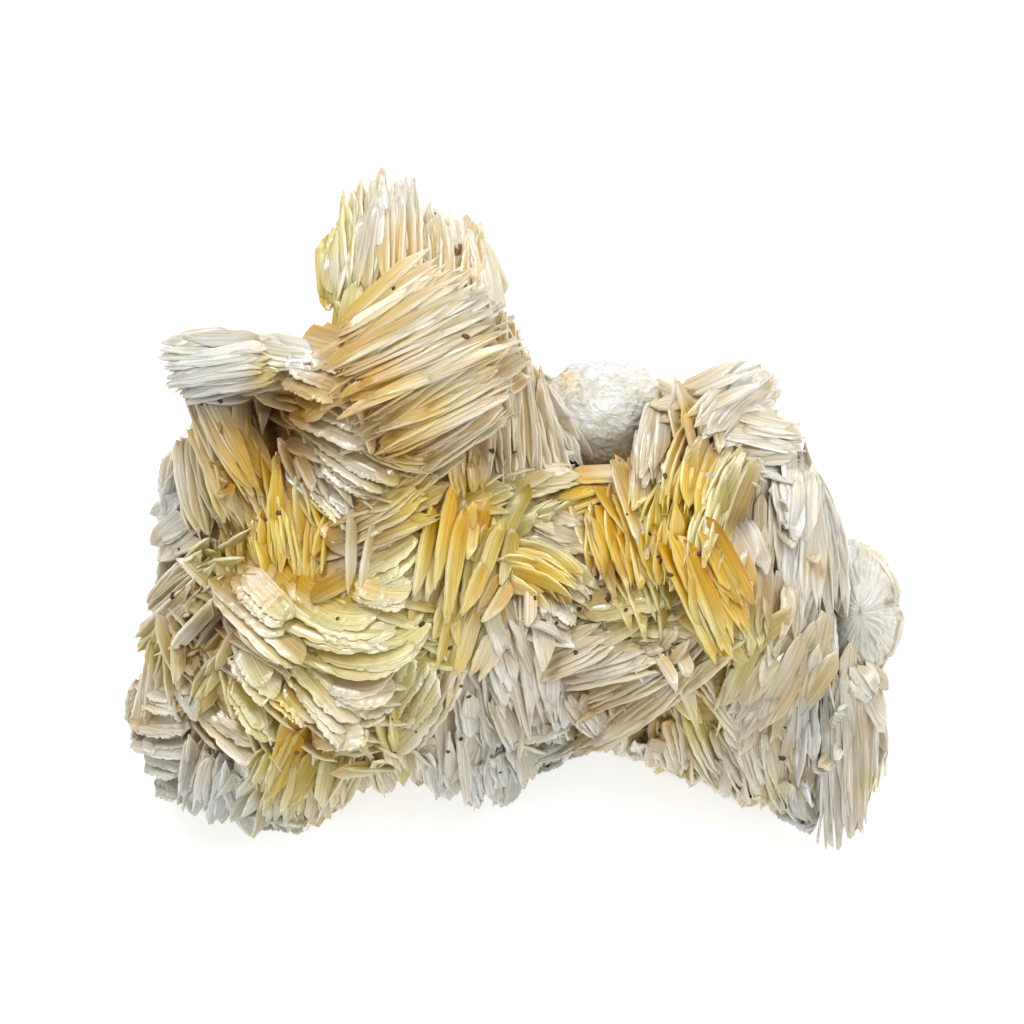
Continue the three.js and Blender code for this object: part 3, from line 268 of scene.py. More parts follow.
# Tones of whole places, which neighbouring books share: x, y, radius, tone. A blade's own tone counts
# as OWN_TONE beside 1 for the middle of a place. Places of tone 8 on the low edges at the front are
# painted cool shade, and places of tone 10 in the hollows are partly painted shade.
OWN_TONE = 0.3
TONE_PLACES = [
    # Tower and highest bundle
    (-18.5, 28, 3, 2), (-22, 30, 2, 0), (-13, 32, 4, 6), (-16, 41, 3.5, 0), (-9, 38, 3, 7),
    (-8, 31, 3.5, 6), (-3.5, 26, 2, 0), (-17, 23.5, 3.5, 1), (-11, 22.5, 3.5, 1), (-6.5, 22, 3, 1),
    (-3.3, 20, 2, 4), (-12, 18, 3, 6), (-16, 16, 2.2, 4), (-20.4, 13.6, 2.2, 4), (-10.5, 12.5, 2.2, 4),
    (-8, 16, 3, 6), (-3.5, 13, 3, 6), (-7.5, 9, 3, 1), (-16.5, 10, 2.5, 5), (-14.5, 8, 2, 4),
    # Curtain and middle
    (1, 14, 4, 6), (4, 9, 3, 1), (0, 19, 2.5, 0), (5.5, 13, 1.5, 0), (3.5, 3.5, 2.2, 6), (9.5, 2.3, 1.6, 3),
    (-4, 6, 2.5, 5), (-3, 8, 1.5, 10), (-5, 1, 2.2, 3), (2.5, -0.5, 3.5, 9), (5, -3, 2.5, 7), (4, -7, 3, 3),
    (9, -10, 2, 1), (-9, -2, 3.5, 3), (-10.5, -7, 3.5, 2), (-4.5, -6, 3, 2), (-6, -14, 3, 2),
    (-8, -18, 1.5, 3), (-18, -3, 3, 5), (-15.5, -7.5, 2.8, 2), (-12.5, 1, 2.5, 3), (-20.4, -6, 1.8, 0),
    (-12, -10, 2, 1),
    # Left side
    (-37.2, 8, 3, 6), (-34.5, 0, 2, 1), (-33, 6.5, 2.4, 4), (-35.5, 6, 2, 4), (-29.5, 10, 3.2, 10),
    (-33, 13, 2, 10), (-27, 14.5, 1.5, 10), (-29, -3, 3.2, 3), (-31, -3, 2.4, 3), (-25.5, -1, 2, 3),
    (-27.5, -8, 2.5, 3), (-24, 7.5, 2, 5), (-22, 5, 2.5, 7), (-27, 16, 1.8, 6), (-26, 13.5, 2.2, 4),
    (-22.5, 10.5, 3, 7), (-39, 17, 5, 8), (-31.3, 17.4, 1.8, 2), (-33, 15, 1.5, 5), (-27, 18.5, 2, 0),
    (-42.4, 6, 2.5, 7), (-39.5, 4, 2, 5), (-38.5, -2, 2.5, 5), (-39.6, -6, 2.2, 9), (-44.5, -6.6, 2.5, 7),
    (-45, 2, 1.8, 8), (-46.2, -12.8, 2.5, 7), (-42.1, -8.7, 2.5, 5), (-40.5, -12, 2, 9),
    (-46.2, -17.4, 2.5, 2), (-38.5, -14.5, 2.2, 10), (-39.8, -19, 2.2, 5), (-47.6, -24.2, 3, 1),
    (-46.2, -29.7, 3, 7), (-46.2, -34.3, 3, 8), (-40.8, -37.9, 3, 8), (-35, -37.9, 2.5, 8),
    (-40, -32.5, 3, 0), (-28.5, -36.5, 3, 2), (-30.8, -41, 2.5, 8), (-25.3, -38.8, 2.5, 7),
    (-19.8, -34.3, 2.5, 9), (-26.2, -33.4, 2.5, 9),
    # Diagonal plates and the scallop
    (-33.5, -15.1, 2.5, 1), (-35.3, -11.5, 2, 1), (-28.5, -12, 3, 9), (-23.5, -14.2, 2.5, 9),
    (-17.1, -18.3, 3, 2), (-19.4, -22.4, 3, 1), (-33, -25.6, 2.5, 9), (-29.4, -24.2, 1.8, 3),
    (-25.3, -21, 2.5, 9), (-31.7, -20.6, 2.5, 2), (-27.1, -8.7, 2, 3), (-21.6, -9.7, 2, 3),
    (-17.1, -10.6, 2.2, 1), (-10.2, -17.4, 2.5, 2), (-12.5, -24.2, 2.5, 2), (-16.2, -28.8, 2.5, 2),
    (-10.2, -31.5, 3, 0), (-38, -27, 2.5, 1),
    # Lower middle
    (-2, -11, 3, 1), (-3, -16, 3, 0), (4.5, -14, 2.5, 0), (10, -17.5, 3, 7), (1.5, -19, 3, 7),
    (8, -12, 2.5, 5), (-5, -24, 3, 0), (1, -26, 3, 7), (-4, -33, 3.5, 8), (5, -31, 3, 8), (12, -22, 3, 1),
    (14.5, -13, 3, 9), (18, -20, 3, 1), (11, -28, 2.5, 7), (20, -17, 2, 1),
    # Gold blades and the right side
    (11.4, -4.7, 1.8, 3), (12.4, 5, 2, 1), (14.8, 0.6, 1.8, 3), (17.7, -7.1, 2.5, 4), (19.1, 1.1, 2.2, 3),
    (20.6, -7.5, 2, 4), (23.5, -13.9, 2, 2), (25.4, -6.5, 2, 4), (27.8, -11.5, 2, 4), (31.5, -11.5, 2, 5),
    (27.8, -1, 1.8, 10), (28.5, 2.5, 2, 5), (33, 2.5, 3, 0), (39.4, 0, 4, 0), (33.5, -5, 3, 0),
    (37, -11, 2.5, 0), (25.4, 10.7, 3, 7), (22, 8.8, 1.8, 5), (21.1, 12.7, 1.2, 3), (19, 14.5, 2, 0),
    (17, 11, 1.8, 7), (23.5, 16, 2.2, 0), (17.2, 6, 2, 6), (10.9, -8.3, 1.8, 10), (17.7, -11, 2, 9),
    (29, 16, 3.5, 0), (33, 9, 3, 0), (31.4, -5, 1.6, 5), (34, -10, 2, 7), (37.5, -7.2, 1.6, 6),
    (46, -12, 5, 0), (37, -17, 3, 0), (29, -18, 2.5, 2), (33, -20, 2.5, 0), (30, -25, 3, 7),
    (23, -27, 2.5, 2), (25.5, -33, 3, 7), (31, -33, 2.5, 0), (45, -22, 3.5, 0), (32, -37, 2, 2),
    (37, -27, 2.5, 8), (41, -30, 3, 0), (46, -29, 3, 7), (36, -39, 2.5, 8), (46, -35, 1.5, 2),
]

# Dark specks, seen from above.
SPECKS = [
    (-15.3, 27.8), (-10.2, 37.6), (-6.3, 21.7), (-20.4, 16.2), (-37.2, 13.9), (-27.1, 4), (-30, -0.1),
    (-31.6, -0.9), (-42.9, -4.7), (-43.6, -10.6), (-42.4, -17), (-41.2, -19.1), (-36, -18.6), (-37.4, -14),
    (-3.1, 7.7), (-0.3, 7.5), (20.5, 6.9), (18.5, 4.5), (13.8, -0.3), (16.6, -2.7), (17.6, -5.6),
    (22.8, -5.2), (19.1, -7.8), (19.2, -10.1), (9.2, -10.7), (11.5, -10.8), (2.3, -10.8), (5, -14),
    (3.3, -13.6), (7.8, -12.2), (13.7, -12.3), (7.5, -17.7), (19.5, -16.5), (27.1, -19.5), (18.1, -27.5),
    (-11.9, -14.1), (-8.4, -17), (-7, -9.8), (-22.5, -13.4), (-7, -21.9), (-6, -23.2), (-8.7, -30.4),
    (-7.1, -28.7), (-12.7, -27.8), (-15.8, -26.2), (-15.5, -30.5), (-23, -27.8), (-30.9, -29.5),
    (-27.8, -30.4), (-2.1, -33.2), (3.9, -32.5), (7.5, -28.7), (37, -39.8), (34.6, -37.9), (33.8, -31.3),
    (-36.2, -18.2), (17.9, -6.2),
]

# The share of red, green and blue light that a white blade gives back, which keeps it just short of
# burning out under the key light, and how much more its rim gives back: partly the crest's own whiter
# colour, partly painted highlight.
GIVEN_BACK = np.array([0.78, 0.80, 0.80])
RIM_AND_HIGHLIGHT_LIFT = 1.2

# How far blades lie over, in degrees: in the highest bundles, in broad shells and elsewhere.
CROWN_LEAN, SHELL_LEAN, BLADE_LEAN = 52, 63, 58

# Filling blades stand on a grid of this pitch, flank blades in levels and at this pitch along the wall,
# in one of these tones: the pale ones at the right, the mixed ones elsewhere.
FILLER_PITCH = 2.3
FLANK_PITCH, FLANK_LEVELS = 1.9, 5
PALE_FLANK = (0, 7, 0, 8, 7, 0, 1, 7)
MIXED_FLANK = (1, 2, 0, 1, 7, 8, 5, 3)

# The root's top ends at this part of its reach. Its mesh has these shares of its rings on top and wall.
WALL_PART = 0.86
TOP_SHARE, WALL_SHARE = 0.8, 0.2

# Lights: place in metres, height of what they aim at, size, power and colour. The glints stand where
# the broad plates mirror them into the camera.
LIGHTS = {
    "key": ((0.34, 0.36, 0.90), 0.02, 0.4, 3.1, (0.94, 0.975, 1)),
    "overhead": ((-0.15, 0.1, 1.3), 0.0, 0.9, 1.9, (0.97, 0.985, 1)),
    "left_fill": ((-0.7, -0.6, 0.6), 0.02, 0.8, 1.0, (1, 0.97, 0.91)),
    "right_fill": ((0.65, -0.5, 0.65), 0.02, 0.6, 1.7, (1, 0.99, 0.97)),
    "glint": ((-0.38, 0.61, 0.72), 0.03, 0.2, 3.6, (0.96, 0.98, 1)),
    "low_glint": ((-0.02, 0.84, 0.58), 0.03, 0.2, 2.2, (0.96, 0.98, 1)),
    "side_glint": ((0.80, 0.26, 0.58), 0.03, 0.2, 1.6, (0.96, 0.98, 1)),
}

# Camera: lens and sensor in millimetres, then the height in focus and the width in view there in metres.
LENS, SENSOR = 250, 36
FOCUS_HEIGHT, VIEW_WIDTH = 0.014, 0.1311

rng = np.random.default_rng(SEED)
# Blender's vector noise starts from the clock unless it is seeded.
noise.seed_set(NOISE_SEED)


def linear(colour):
    """Display values as linear light."""
    c = np.asarray(colour, dtype=float)
    return np.where(c <= 0.04045, c / 12.92, ((c + 0.055) / 1.055) ** 2.4)


def unit(v):
    return v / np.linalg.norm(v)


def turned(vector, axis, degrees):
    a = math.radians(degrees)
    sideways, kept = np.cross(axis, vector), axis * axis.dot(vector)
    return vector * math.cos(a) + sideways * math.sin(a) + kept * (1 - math.cos(a))


def fitted(x, y, z):
    """A point of the tables, brought to the cluster's exact size."""
    return (np.array([x, y, z]) + FIT_MOVE) * FIT_STRETCH


def reach(angle):
    """Distance from the root's centre to its outline in one direction."""
    dx, dy = math.cos(angle), math.sin(angle)
    found = 0.0
    for (x1, y1), (x2, y2) in zip(ROOT_OUTLINE, ROOT_OUTLINE[1:] + ROOT_OUTLINE[:1]):
        ax, ay = x1 - ROOT_CENTRE[0], y1 - ROOT_CENTRE[1]
        ex, ey = x2 - x1, y2 - y1
        cross = dx * ey - dy * ex
        if abs(cross) < 1e-9:
            continue
        distance = (ax * ey - ay * ex) / cross
        share = (ax * dy - ay * dx) / cross
        if distance > 0 and 0 <= share <= 1:
            found = max(found, distance)
    return found


TONE_TABLE = linear(TONES)
UP = np.array([0.0, 0.0, 1.0])
OUTLINE = np.array([fitted(x, y, 0)[:2] for x, y in BLADE_OUTLINE])
REACH_STEPS = 720
TURNS = np.arange(REACH_STEPS + 1) * 2 * math.pi / REACH_STEPS
REACH = np.array([reach(turn) for turn in TURNS[:-1]])
REACH = np.append(REACH, REACH[0])


def reach_at(angle):
    return np.interp(np.mod(angle, 2 * math.pi), TURNS, REACH)


def spot(angle, part):
    """The point at one part of the way from the root's centre to its outline."""
    return np.array(ROOT_CENTRE) + part * reach_at(angle) * np.array([math.cos(angle), math.sin(angle)])


def within_outline(point):
    """Whether a point, seen from above, lies within the cluster's outline."""
    x, y = point[0], point[1]
    ax, ay = OUTLINE[:, 0], OUTLINE[:, 1]
    bx, by = np.roll(ax, -1), np.roll(ay, -1)
    straddles = (ay > y) != (by > y)
    with np.errstate(divide="ignore", invalid="ignore"):
        crossing = (bx - ax) * (y - ay) / (by - ay) + ax
    return bool(np.count_nonzero(straddles & (x < crossing)) % 2)


def drawn_in(end, centre):
    """The end of a blade, brought back inside the outline."""
    while not within_outline(end) and np.linalg.norm(end - centre) > 1.5:
        end = centre + 0.93 * (end - centre)
    return end


def placed(name, data):
    """A new object in the scene."""
    thing = bpy.data.objects.new(name, data)
    bpy.context.scene.collection.objects.link(thing)
    return thing


class Sheaf:
    """A growing mesh of plates, with the attributes that their shader reads."""

    def __init__(self):
        self.points, self.faces, self.tints, self.fibres = [], [], [], []
        self.count = 0

    def add(self, points, faces, tints, fibres):
        self.points.append(points)
        self.faces.append(faces + self.count)
        self.tints.append(tints)
        self.fibres.append(fibres)
        self.count += len(points)

    def build(self, name, material, sharp_degrees=38):
        points = np.concatenate(self.points)
        points[:, 2] = np.maximum(points[:, 2], 0.0)
        mesh = bpy.data.meshes.new(name)
        mesh.from_pydata((points * MM).tolist(), [], np.concatenate(self.faces).tolist())
        tint = mesh.attributes.new("tint", "FLOAT_COLOR", "POINT")
        colours = np.concatenate(self.tints)
        tint.data.foreach_set("color", np.column_stack([colours, np.ones(len(colours))]).ravel())
        fibre = mesh.attributes.new("fibre", "FLOAT_VECTOR", "POINT")
        fibre.data.foreach_set("vector", np.concatenate(self.fibres).ravel())
        mesh.shade_smooth()
        mesh.set_sharp_from_angle(angle=math.radians(sharp_degrees))
        mesh.materials.append(material)
        return placed(name, mesh)


def grid_faces(rows, columns):
    """Quads of two grids laid back to back, closed along their shared border."""
    faces = []
    back = rows * columns
    for i in range(rows - 1):
        for j in range(columns - 1):
            a, d = i * columns + j, (i + 1) * columns + j
            b, c = a + 1, d + 1
            faces.append((a, b, c, d))
            faces.append((back + d, back + c, back + b, back + a))
    border = list(range(columns))
    border += [i * columns + columns - 1 for i in range(1, rows)]
    border += [(rows - 1) * columns + j for j in range(columns - 2, -1, -1)]
    border += [i * columns for i in range(rows - 2, 0, -1)]
    for a, b in zip(border, border[1:] + border[:1]):
        faces.append((b, a, back + a, back + b))
    return np.array(faces)


# Where a plate has its rows of points, as shares of the way from its crest down to its root: the crest
# is ground to a chisel as far as the first share, and is painted lighter at its rim as far as the second,
# partly its own whiter colour and partly painted highlight.
CHISEL, RIM = 0.09, 0.34
DOWN_STEPS = np.array([0.0, CHISEL, RIM, 1.0])
FINE_STEPS, COARSE_STEPS, SHELL_STEPS = 16, 10, 26
PLATE_FACES = {steps: grid_faces(len(DOWN_STEPS), steps) for steps in (FINE_STEPS, COARSE_STEPS, SHELL_STEPS)}
LONG_PLATE = 7


def tones_with_painted_light(points, tone):
    """Rim, face and root colours at each point: the book's own tone, blended with the place's. The root
    colour is painted warm shade, and the rim colour partly painted highlight.
    """
    weights = np.full((len(points), 1), OWN_TONE)
    mixed = OWN_TONE * TONE_TABLE[tone][None, :, :] * np.ones((len(points), 1, 1))
    for x, y, radius, place_tone in TONE_PLACES:
        far = ((points[:, 0] - x) ** 2 + (points[:, 1] - y) ** 2) / radius ** 2
        w = np.exp(-far)
        mixed = mixed + w[:, None, None] * TONE_TABLE[place_tone][None, :, :]
        weights = weights + w[:, None]
    return GIVEN_BACK * mixed / weights[:, :, None]


def add_plate(sheaf, middle, along, growth, length, thickness, depth, bow, tone, shade, curl, steps,
              dip, inward, blunt):
    """One thin lance-shaped plate: serrated crest, pointed free end, heel sunk into the mass.

    s runs along the plate, u from its heel to its free end, and v from its crest down to its root."""
    across = np.cross(growth, along)
    s = np.linspace(-0.5, 0.5, steps)
    v = DOWN_STEPS[:, None]
    free_end = 1 if rng.uniform() < 0.92 else -1
    u = s * free_end + 0.5
    heel = np.clip(u / rng.uniform(0.1, 0.25), 0, 1) ** 0.6
    tip = rng.uniform(0.12, 0.35) if blunt else rng.uniform(0.18, 0.5)
    spread = heel * np.clip((1 - u) / tip, 0, 1) ** (0.5 if blunt else rng.uniform(0.7, 1.1))
    keel = rng.uniform(0.08, 0.6)
    teeth = rng.uniform(0, 1, steps) ** 2 * (0.4 if blunt else min(0.25, 0.06 * depth))
    drop = keel * depth * (1 - spread) + teeth
    root = depth * (1 - (1 - keel) * (1 - spread))
    down = drop[None, :] * (1 - v) + v * np.maximum(root, drop + 0.15)[None, :]
    chisel = 0.25 + 0.75 * np.clip(v / CHISEL, 0, 1)
    half = 0.5 * thickness * chisel * np.clip(3.0 * spread, 0.15, 1)[None, :]
    arch = 1 - 4 * s * s
    centre_line = 0.15 * abs(bow) * arch[None, :] + curl * v * v
    base = middle + np.einsum("ij,k->ijk", np.broadcast_to(s * length, down.shape), along)
    base = base - np.einsum("ij,k->ijk", down, growth)
    base = base - (dip * (1 - u) ** 1.6)[None, :, None] * inward
    base = base + (bow * arch)[None, :, None] * unit(np.cross(along, inward))
    front = base + np.einsum("ij,k->ijk", centre_line + half, across)
    back = base + np.einsum("ij,k->ijk", centre_line - half, across)
    points = np.concatenate([front.reshape(-1, 3), back.reshape(-1, 3)])

    below = np.tile(down.ravel(), 2) / depth
    own = tones_with_painted_light(points, tone)
    towards_tip = np.tile(u, 2 * len(DOWN_STEPS))
    # Painted shade: the face turns to the darker, warmer root colour toward the heel and down toward the root,
    # where the plates crowd and shade one another and light glows through them.
    painted_shade = np.clip(0.6 * (1 - towards_tip) ** 1.3 + 0.4 * below, 0, 1)[:, None]
    pale = 0.33 * towards_tip[:, None] ** 2.8
    body = shade * (own[:, 1] * (1 - painted_shade) + own[:, 2] * painted_shade)
    body = body * (1 - pale) + own[:, 0] * pale
    edge = np.tile(np.broadcast_to(v, down.shape).ravel(), 2)
    # The crest's rim is painted lighter, more so toward the free end: partly the crest's own whiter colour,
    # partly painted highlight.
    rim_and_highlight = np.clip(1 - edge / RIM, 0, 1)[:, None] ** 2.2 * (0.35 + 0.65 * towards_tip[:, None])
    tints = body * (1 - rim_and_highlight) + RIM_AND_HIGHLIGHT_LIFT * own[:, 0] * rim_and_highlight
    fibres = np.column_stack([
        np.tile(s * length, 2 * len(DOWN_STEPS)),
        below * depth,
        rng.uniform(0, 50) + np.concatenate([half.ravel(), -half.ravel()]),
    ])
    sheaf.add(points, PLATE_FACES[steps], tints, fibres)


def stack_blade(sheaf, middle, along, growth, length, thickness, depth, bow, tone, shade, plates, dip,
                inward, blunt=False):
    """One blade: a first plate, and shorter ones grown onto its two faces in turn."""
    across = np.cross(growth, along)
    curl = rng.normal(0, 0.5)
    for k in range(plates):
        first = k == 0
        fall = 0.0 if first else rng.uniform(0.3, 1.1)
        shift = 0.0 if first else rng.uniform(-0.2, 0.2) * length
        part = 1.0 if first else rng.uniform(0.45, 0.85)
        side = 0.0 if first else (-1) ** k * thickness * 0.6
        place = middle + across * side - growth * fall + along * shift
        steps = SHELL_STEPS if blunt else FINE_STEPS if first and length > LONG_PLATE else COARSE_STEPS
        add_plate(sheaf, place, along, growth, length * part, thickness * rng.uniform(0.85, 1.15),
                  depth - fall, bow, tone, shade * rng.uniform(0.95, 1.04), curl, steps,
                  dip * rng.uniform(0.6, 1.3), inward, blunt)


def add_blade(sheaf, start, end, thickness, lean, depth, bow, tone, shade, plates=1, dip=1.6, blunt=False):
    """One blade that hangs from the crest between two points."""
    along = unit(end - start)
    right = unit(np.array([along[1], -along[0], 0.0]))
    t = math.radians(lean)
    growth = np.cross(right, along) * math.cos(t) + right * math.sin(t)
    middle = 0.5 * (start + end)
    while depth > 2.5 and not within_outline(middle - growth * depth):
        depth *= 0.8
    length = np.linalg.norm(end - start)
    if not blunt:
        depth = min(depth, 0.15 * length + 0.8)
    stack_blade(sheaf, middle, along, growth, length, thickness, depth, bow, tone, shade, plates, dip,
                UP, blunt)


def add_book(sheaf, book, fineness):
    """One book: its whole blades, shorter ones between them, and an apron that steps down beside them."""
    x1, y1, z1, x2, y2, z2, width, count, lean, tone, fan, bow = (*book, 0, 0)[:12]
    start, end = fitted(x1, y1, z1), fitted(x2, y2, z2)
    middle = 0.5 * (start + end)
    crest = unit(end - start)
    right = unit(np.array([end[1] - start[1], start[0] - end[0], 0.0]))
    side = -1 if lean < 0 else 1
    length = np.linalg.norm(end - start)
    shell = abs(lean) > 30 and fineness < 1
    tilt = side * (CROWN_LEAN if fineness > 1.2 else SHELL_LEAN if shell else BLADE_LEAN)
    whole = max(1, int(round(0.75 * count if shell else fineness * count)))
    short = 0 if count == 1 else 1 if shell else int(round(1.3 * fineness * count))
    apron = 3 if count > 1 else 2
    pitch = width / whole
    depth = min(5.4, 1.4 * pitch + 2.4) if shell else min(3.6, 1.2 * pitch + 1.3)
    for i in range(whole + short + apron):
        if i < whole:
            shift = (i + 0.5 - whole / 2) * pitch
            part, sag, loose = rng.uniform(0.85, 1.2), rng.normal(0, 0.15), 3.0
        elif i < whole + short:
            shift = rng.uniform(-0.5, 0.5) * width
            part, sag, loose = rng.uniform(0.65, 1.0), rng.uniform(-0.35, 0.1), 4.0
        else:
            k = i - whole - short + 1
            shift = -side * (width / 2 + 0.8 * max(0.8, pitch) * k + rng.uniform(-0.2, 0.2))
            part, sag, loose = rng.uniform(0.65, 1.0), 0.55 * k + rng.uniform(-0.2, 0.3), 4.0
        slide = crest * rng.uniform(-0.55, 0.55) * max(0, 1 - part) * length
        turn = -fan * shift / width + rng.normal(0, loose)
        place = right * shift + UP * (rng.normal(0, 0.12) - sag)
        a = middle + turned((start - middle) * part, UP, turn) + place + slide
        b = middle + turned((end - middle) * part, UP, turn) + place + slide
        centre = 0.5 * (a + b)
        if not within_outline(centre):
            continue
        a, b = drawn_in(a, centre), drawn_in(b, centre)
        if count == 1 and i == 0:
            lift = 0.5 * UP
            add_blade(sheaf, a + lift, b + lift, 0.7, side * BLADE_LEAN, 0.9 * width + 0.3, bow, tone, 1.03,
                      plates=2, dip=1.0)
            continue
        add_blade(sheaf, a, b, min(0.6, max(0.4, 0.45 * pitch)), tilt + rng.normal(0, 6), depth,
                  bow + rng.normal(0, 0.2), tone, rng.uniform(0.95, 1.05), blunt=shell and part > 0.5)


BOOKS = [book for _, books in REGIONS.values() for book in books]

# Where the crests run, for the filling blades and the root between them.
CREST_SHARES = (0.1, 0.35, 0.65, 0.9)
CREST_BOOKS = [book for book in BOOKS for _ in CREST_SHARES]
CREST_POINTS = np.array([
    fitted(*[book[k] + (book[k + 3] - book[k]) * share for k in range(3)])
    for book in BOOKS for share in CREST_SHARES
])


def crest_height(x, y):
    """Height of the crests around a place, the nearest ones counting most."""
    far = np.hypot(CREST_POINTS[:, 0] - x, CREST_POINTS[:, 1] - y) + 0.6
    weight = far ** -2.4 * (far < 14)
    if weight.sum() == 0:
        return 10.0
    return float((weight * CREST_POINTS[:, 2]).sum() / weight.sum())


def swelling_height(x, y):
    """Top of the swelling at a place, or 0 beside the swellings."""
    best = 0.0
    for cx, cy, cz, rx, ry, rz in SWELLINGS:
        inside = 1 - ((x - cx) / rx) ** 2 - ((y - cy) / ry) ** 2
        if inside > 0:
            best = max(best, cz + rz * math.sqrt(inside))
    return best


def wall_top(angle):
    """Height at which the root turns down into its side wall."""
    return max(crest_height(*spot(angle, WALL_PART)) - 2.6, 7.4)


def wall_part(down):
    """How far out the side wall stands, as a part of the reach, at one share of the way down."""
    return WALL_PART + 0.05 * math.sin(math.pi * min(1, 1.15 * down)) - 0.03 * down


def add_fillers(sheaf, first_x, last_x):
    """Shorter blades low between the books, following the book beside them."""
    for grid_x in np.arange(first_x, last_x, FILLER_PITCH):
        for grid_y in np.arange(-42, 43, FILLER_PITCH):
            x, y = grid_x + rng.uniform(-1, 1), grid_y + rng.uniform(-1, 1)
            from_x, from_y = x - ROOT_CENTRE[0], y - ROOT_CENTRE[1]
            share = math.hypot(from_x, from_y) / reach_at(math.atan2(from_y, from_x))
            if share > 0.94 or not within_outline((x, y)):
                continue
            far = np.hypot(CREST_POINTS[:, 0] - x, CREST_POINTS[:, 1] - y)
            x1, y1, z1, x2, y2, z2, _, _, lean, tone = CREST_BOOKS[int(far.argmin())][:10]
            z = crest_height(x, y) - rng.uniform(0.4, 1.5)
            if z < 6 or swelling_height(x, y) > 0:
                continue
            heading = math.atan2(y2 - y1, x2 - x1) + math.radians(rng.normal(0, 11))
            slope = (z2 - z1) / math.hypot(x2 - x1, y2 - y1)
            length = rng.uniform(8, 13)
            half = 0.5 * length * np.array([math.cos(heading), math.sin(heading), 0.8 * slope])
            middle = np.array([x, y, z])
            tilt = math.copysign(BLADE_LEAN, lean) + rng.normal(0, 8)
            a, b = drawn_in(middle - half, middle), drawn_in(middle + half, middle)
            add_blade(sheaf, a, b, rng.uniform(0.4, 0.6), tilt, rng.uniform(2.6, 4.0), rng.normal(0, 0.3),
                      tone, rng.uniform(0.93, 1.03))


def add_flanks(sheaf, first_turn, last_turn):
    """Shingled blades that clothe the side walls, in bundles that share their slant."""
    turns = np.linspace(0, 2 * math.pi, 2 * REACH_STEPS + 1)
    wall = reach_at(turns)
    line = np.column_stack([ROOT_CENTRE[0] + wall * np.cos(turns), ROOT_CENTRE[1] + wall * np.sin(turns)])
    run = np.append(0, np.cumsum(np.hypot(*np.diff(line, axis=0).T)))
    for level in range(FLANK_LEVELS):
        for walked in np.arange(first_turn * run[-1], last_turn * run[-1], FLANK_PITCH):
            walked = walked + rng.uniform(-0.5, 0.5)
            z = 3.2 + 5.2 * level + rng.uniform(-1.6, 1.6)
            angle = float(np.interp(walked, run, turns))
            top = wall_top(angle)
            if z > top + 0.5:
                continue
            x1, y1, x2, y2 = [np.interp(walked + d, run, line[:, i]) for d in (-1.5, 1.5) for i in (0, 1)]
            tangent = unit(np.array([x2 - x1, y2 - y1, 0.0]))
            outward = np.array([tangent[1], -tangent[0], 0.0])
            place = spot(angle, wall_part(1 - z / top))
            bundle = noise.noise_vector(Vector((walked * 0.11, 3.7 * level, 5.0)))
            slant = math.radians(70 * bundle.x + rng.normal(0, 5))
            side = 1 if bundle.y > 0 else -1
            lie = math.radians(54 + rng.normal(0, 7))
            along = tangent * math.sin(slant) - UP * math.cos(slant)
            along = unit(along + outward * rng.uniform(0.1, 0.3))
            plane = unit(np.cross(outward, along))
            growth = unit(outward * math.cos(lie) + side * plane * math.sin(lie))
            growth = unit(growth - along * growth.dot(along))
            length = min(rng.uniform(8, 14), 1.9 * z + 1)
            depth = min(rng.uniform(2.4, 3.6), 0.14 * length + 1.3)
            middle = np.array([place[0], place[1], z]) + outward * rng.uniform(1.0, 2.0)
            if not (within_outline(middle) and within_outline(middle + 0.5 * length * along)):
                middle = middle - 1.2 * outward
                length = 0.75 * length
            if z > 12 and swelling_height(middle[0], middle[1]) > 0:
                continue
            tones = PALE_FLANK if place[0] > 30 else MIXED_FLANK
            tone = tones[int(abs(bundle.z) * 31 + level) % len(tones)]
            stack_blade(sheaf, middle + growth * 0.4, along, growth, length, rng.uniform(0.4, 0.6), depth, 0.0,
                        tone, rng.uniform(0.93, 1.03), 1, 1.4, outward)


def drawn_together(points, around):
    """Rings of points, the first ring drawn together to one place."""
    points = np.array(points)
    points[:around] = points[:around].mean(axis=0)
    return points


def ringed_piece(name, material, points, around, tints, fibres, sharp_degrees):
    """A closed piece from rings of points, the last ring capped."""
    faces = []
    for first in range(0, len(points) - around, around):
        for k in range(around):
            n = (k + 1) % around
            faces.append((first + k, first + around + k, first + around + n, first + n))
    sheaf = Sheaf()
    sheaf.add(points, np.array(faces), tints, np.array(fibres))
    piece = sheaf.build(name, material, sharp_degrees)
    mesh = bmesh.new()
    mesh.from_mesh(piece.data)
    bmesh.ops.remove_doubles(mesh, verts=mesh.verts, dist=1e-7)
    bmesh.ops.contextual_create(mesh, geom=[e for e in mesh.edges if e.is_boundary])
    bmesh.ops.recalc_face_normals(mesh, faces=mesh.faces)
    mesh.to_mesh(piece.data)
    mesh.free()
    return piece


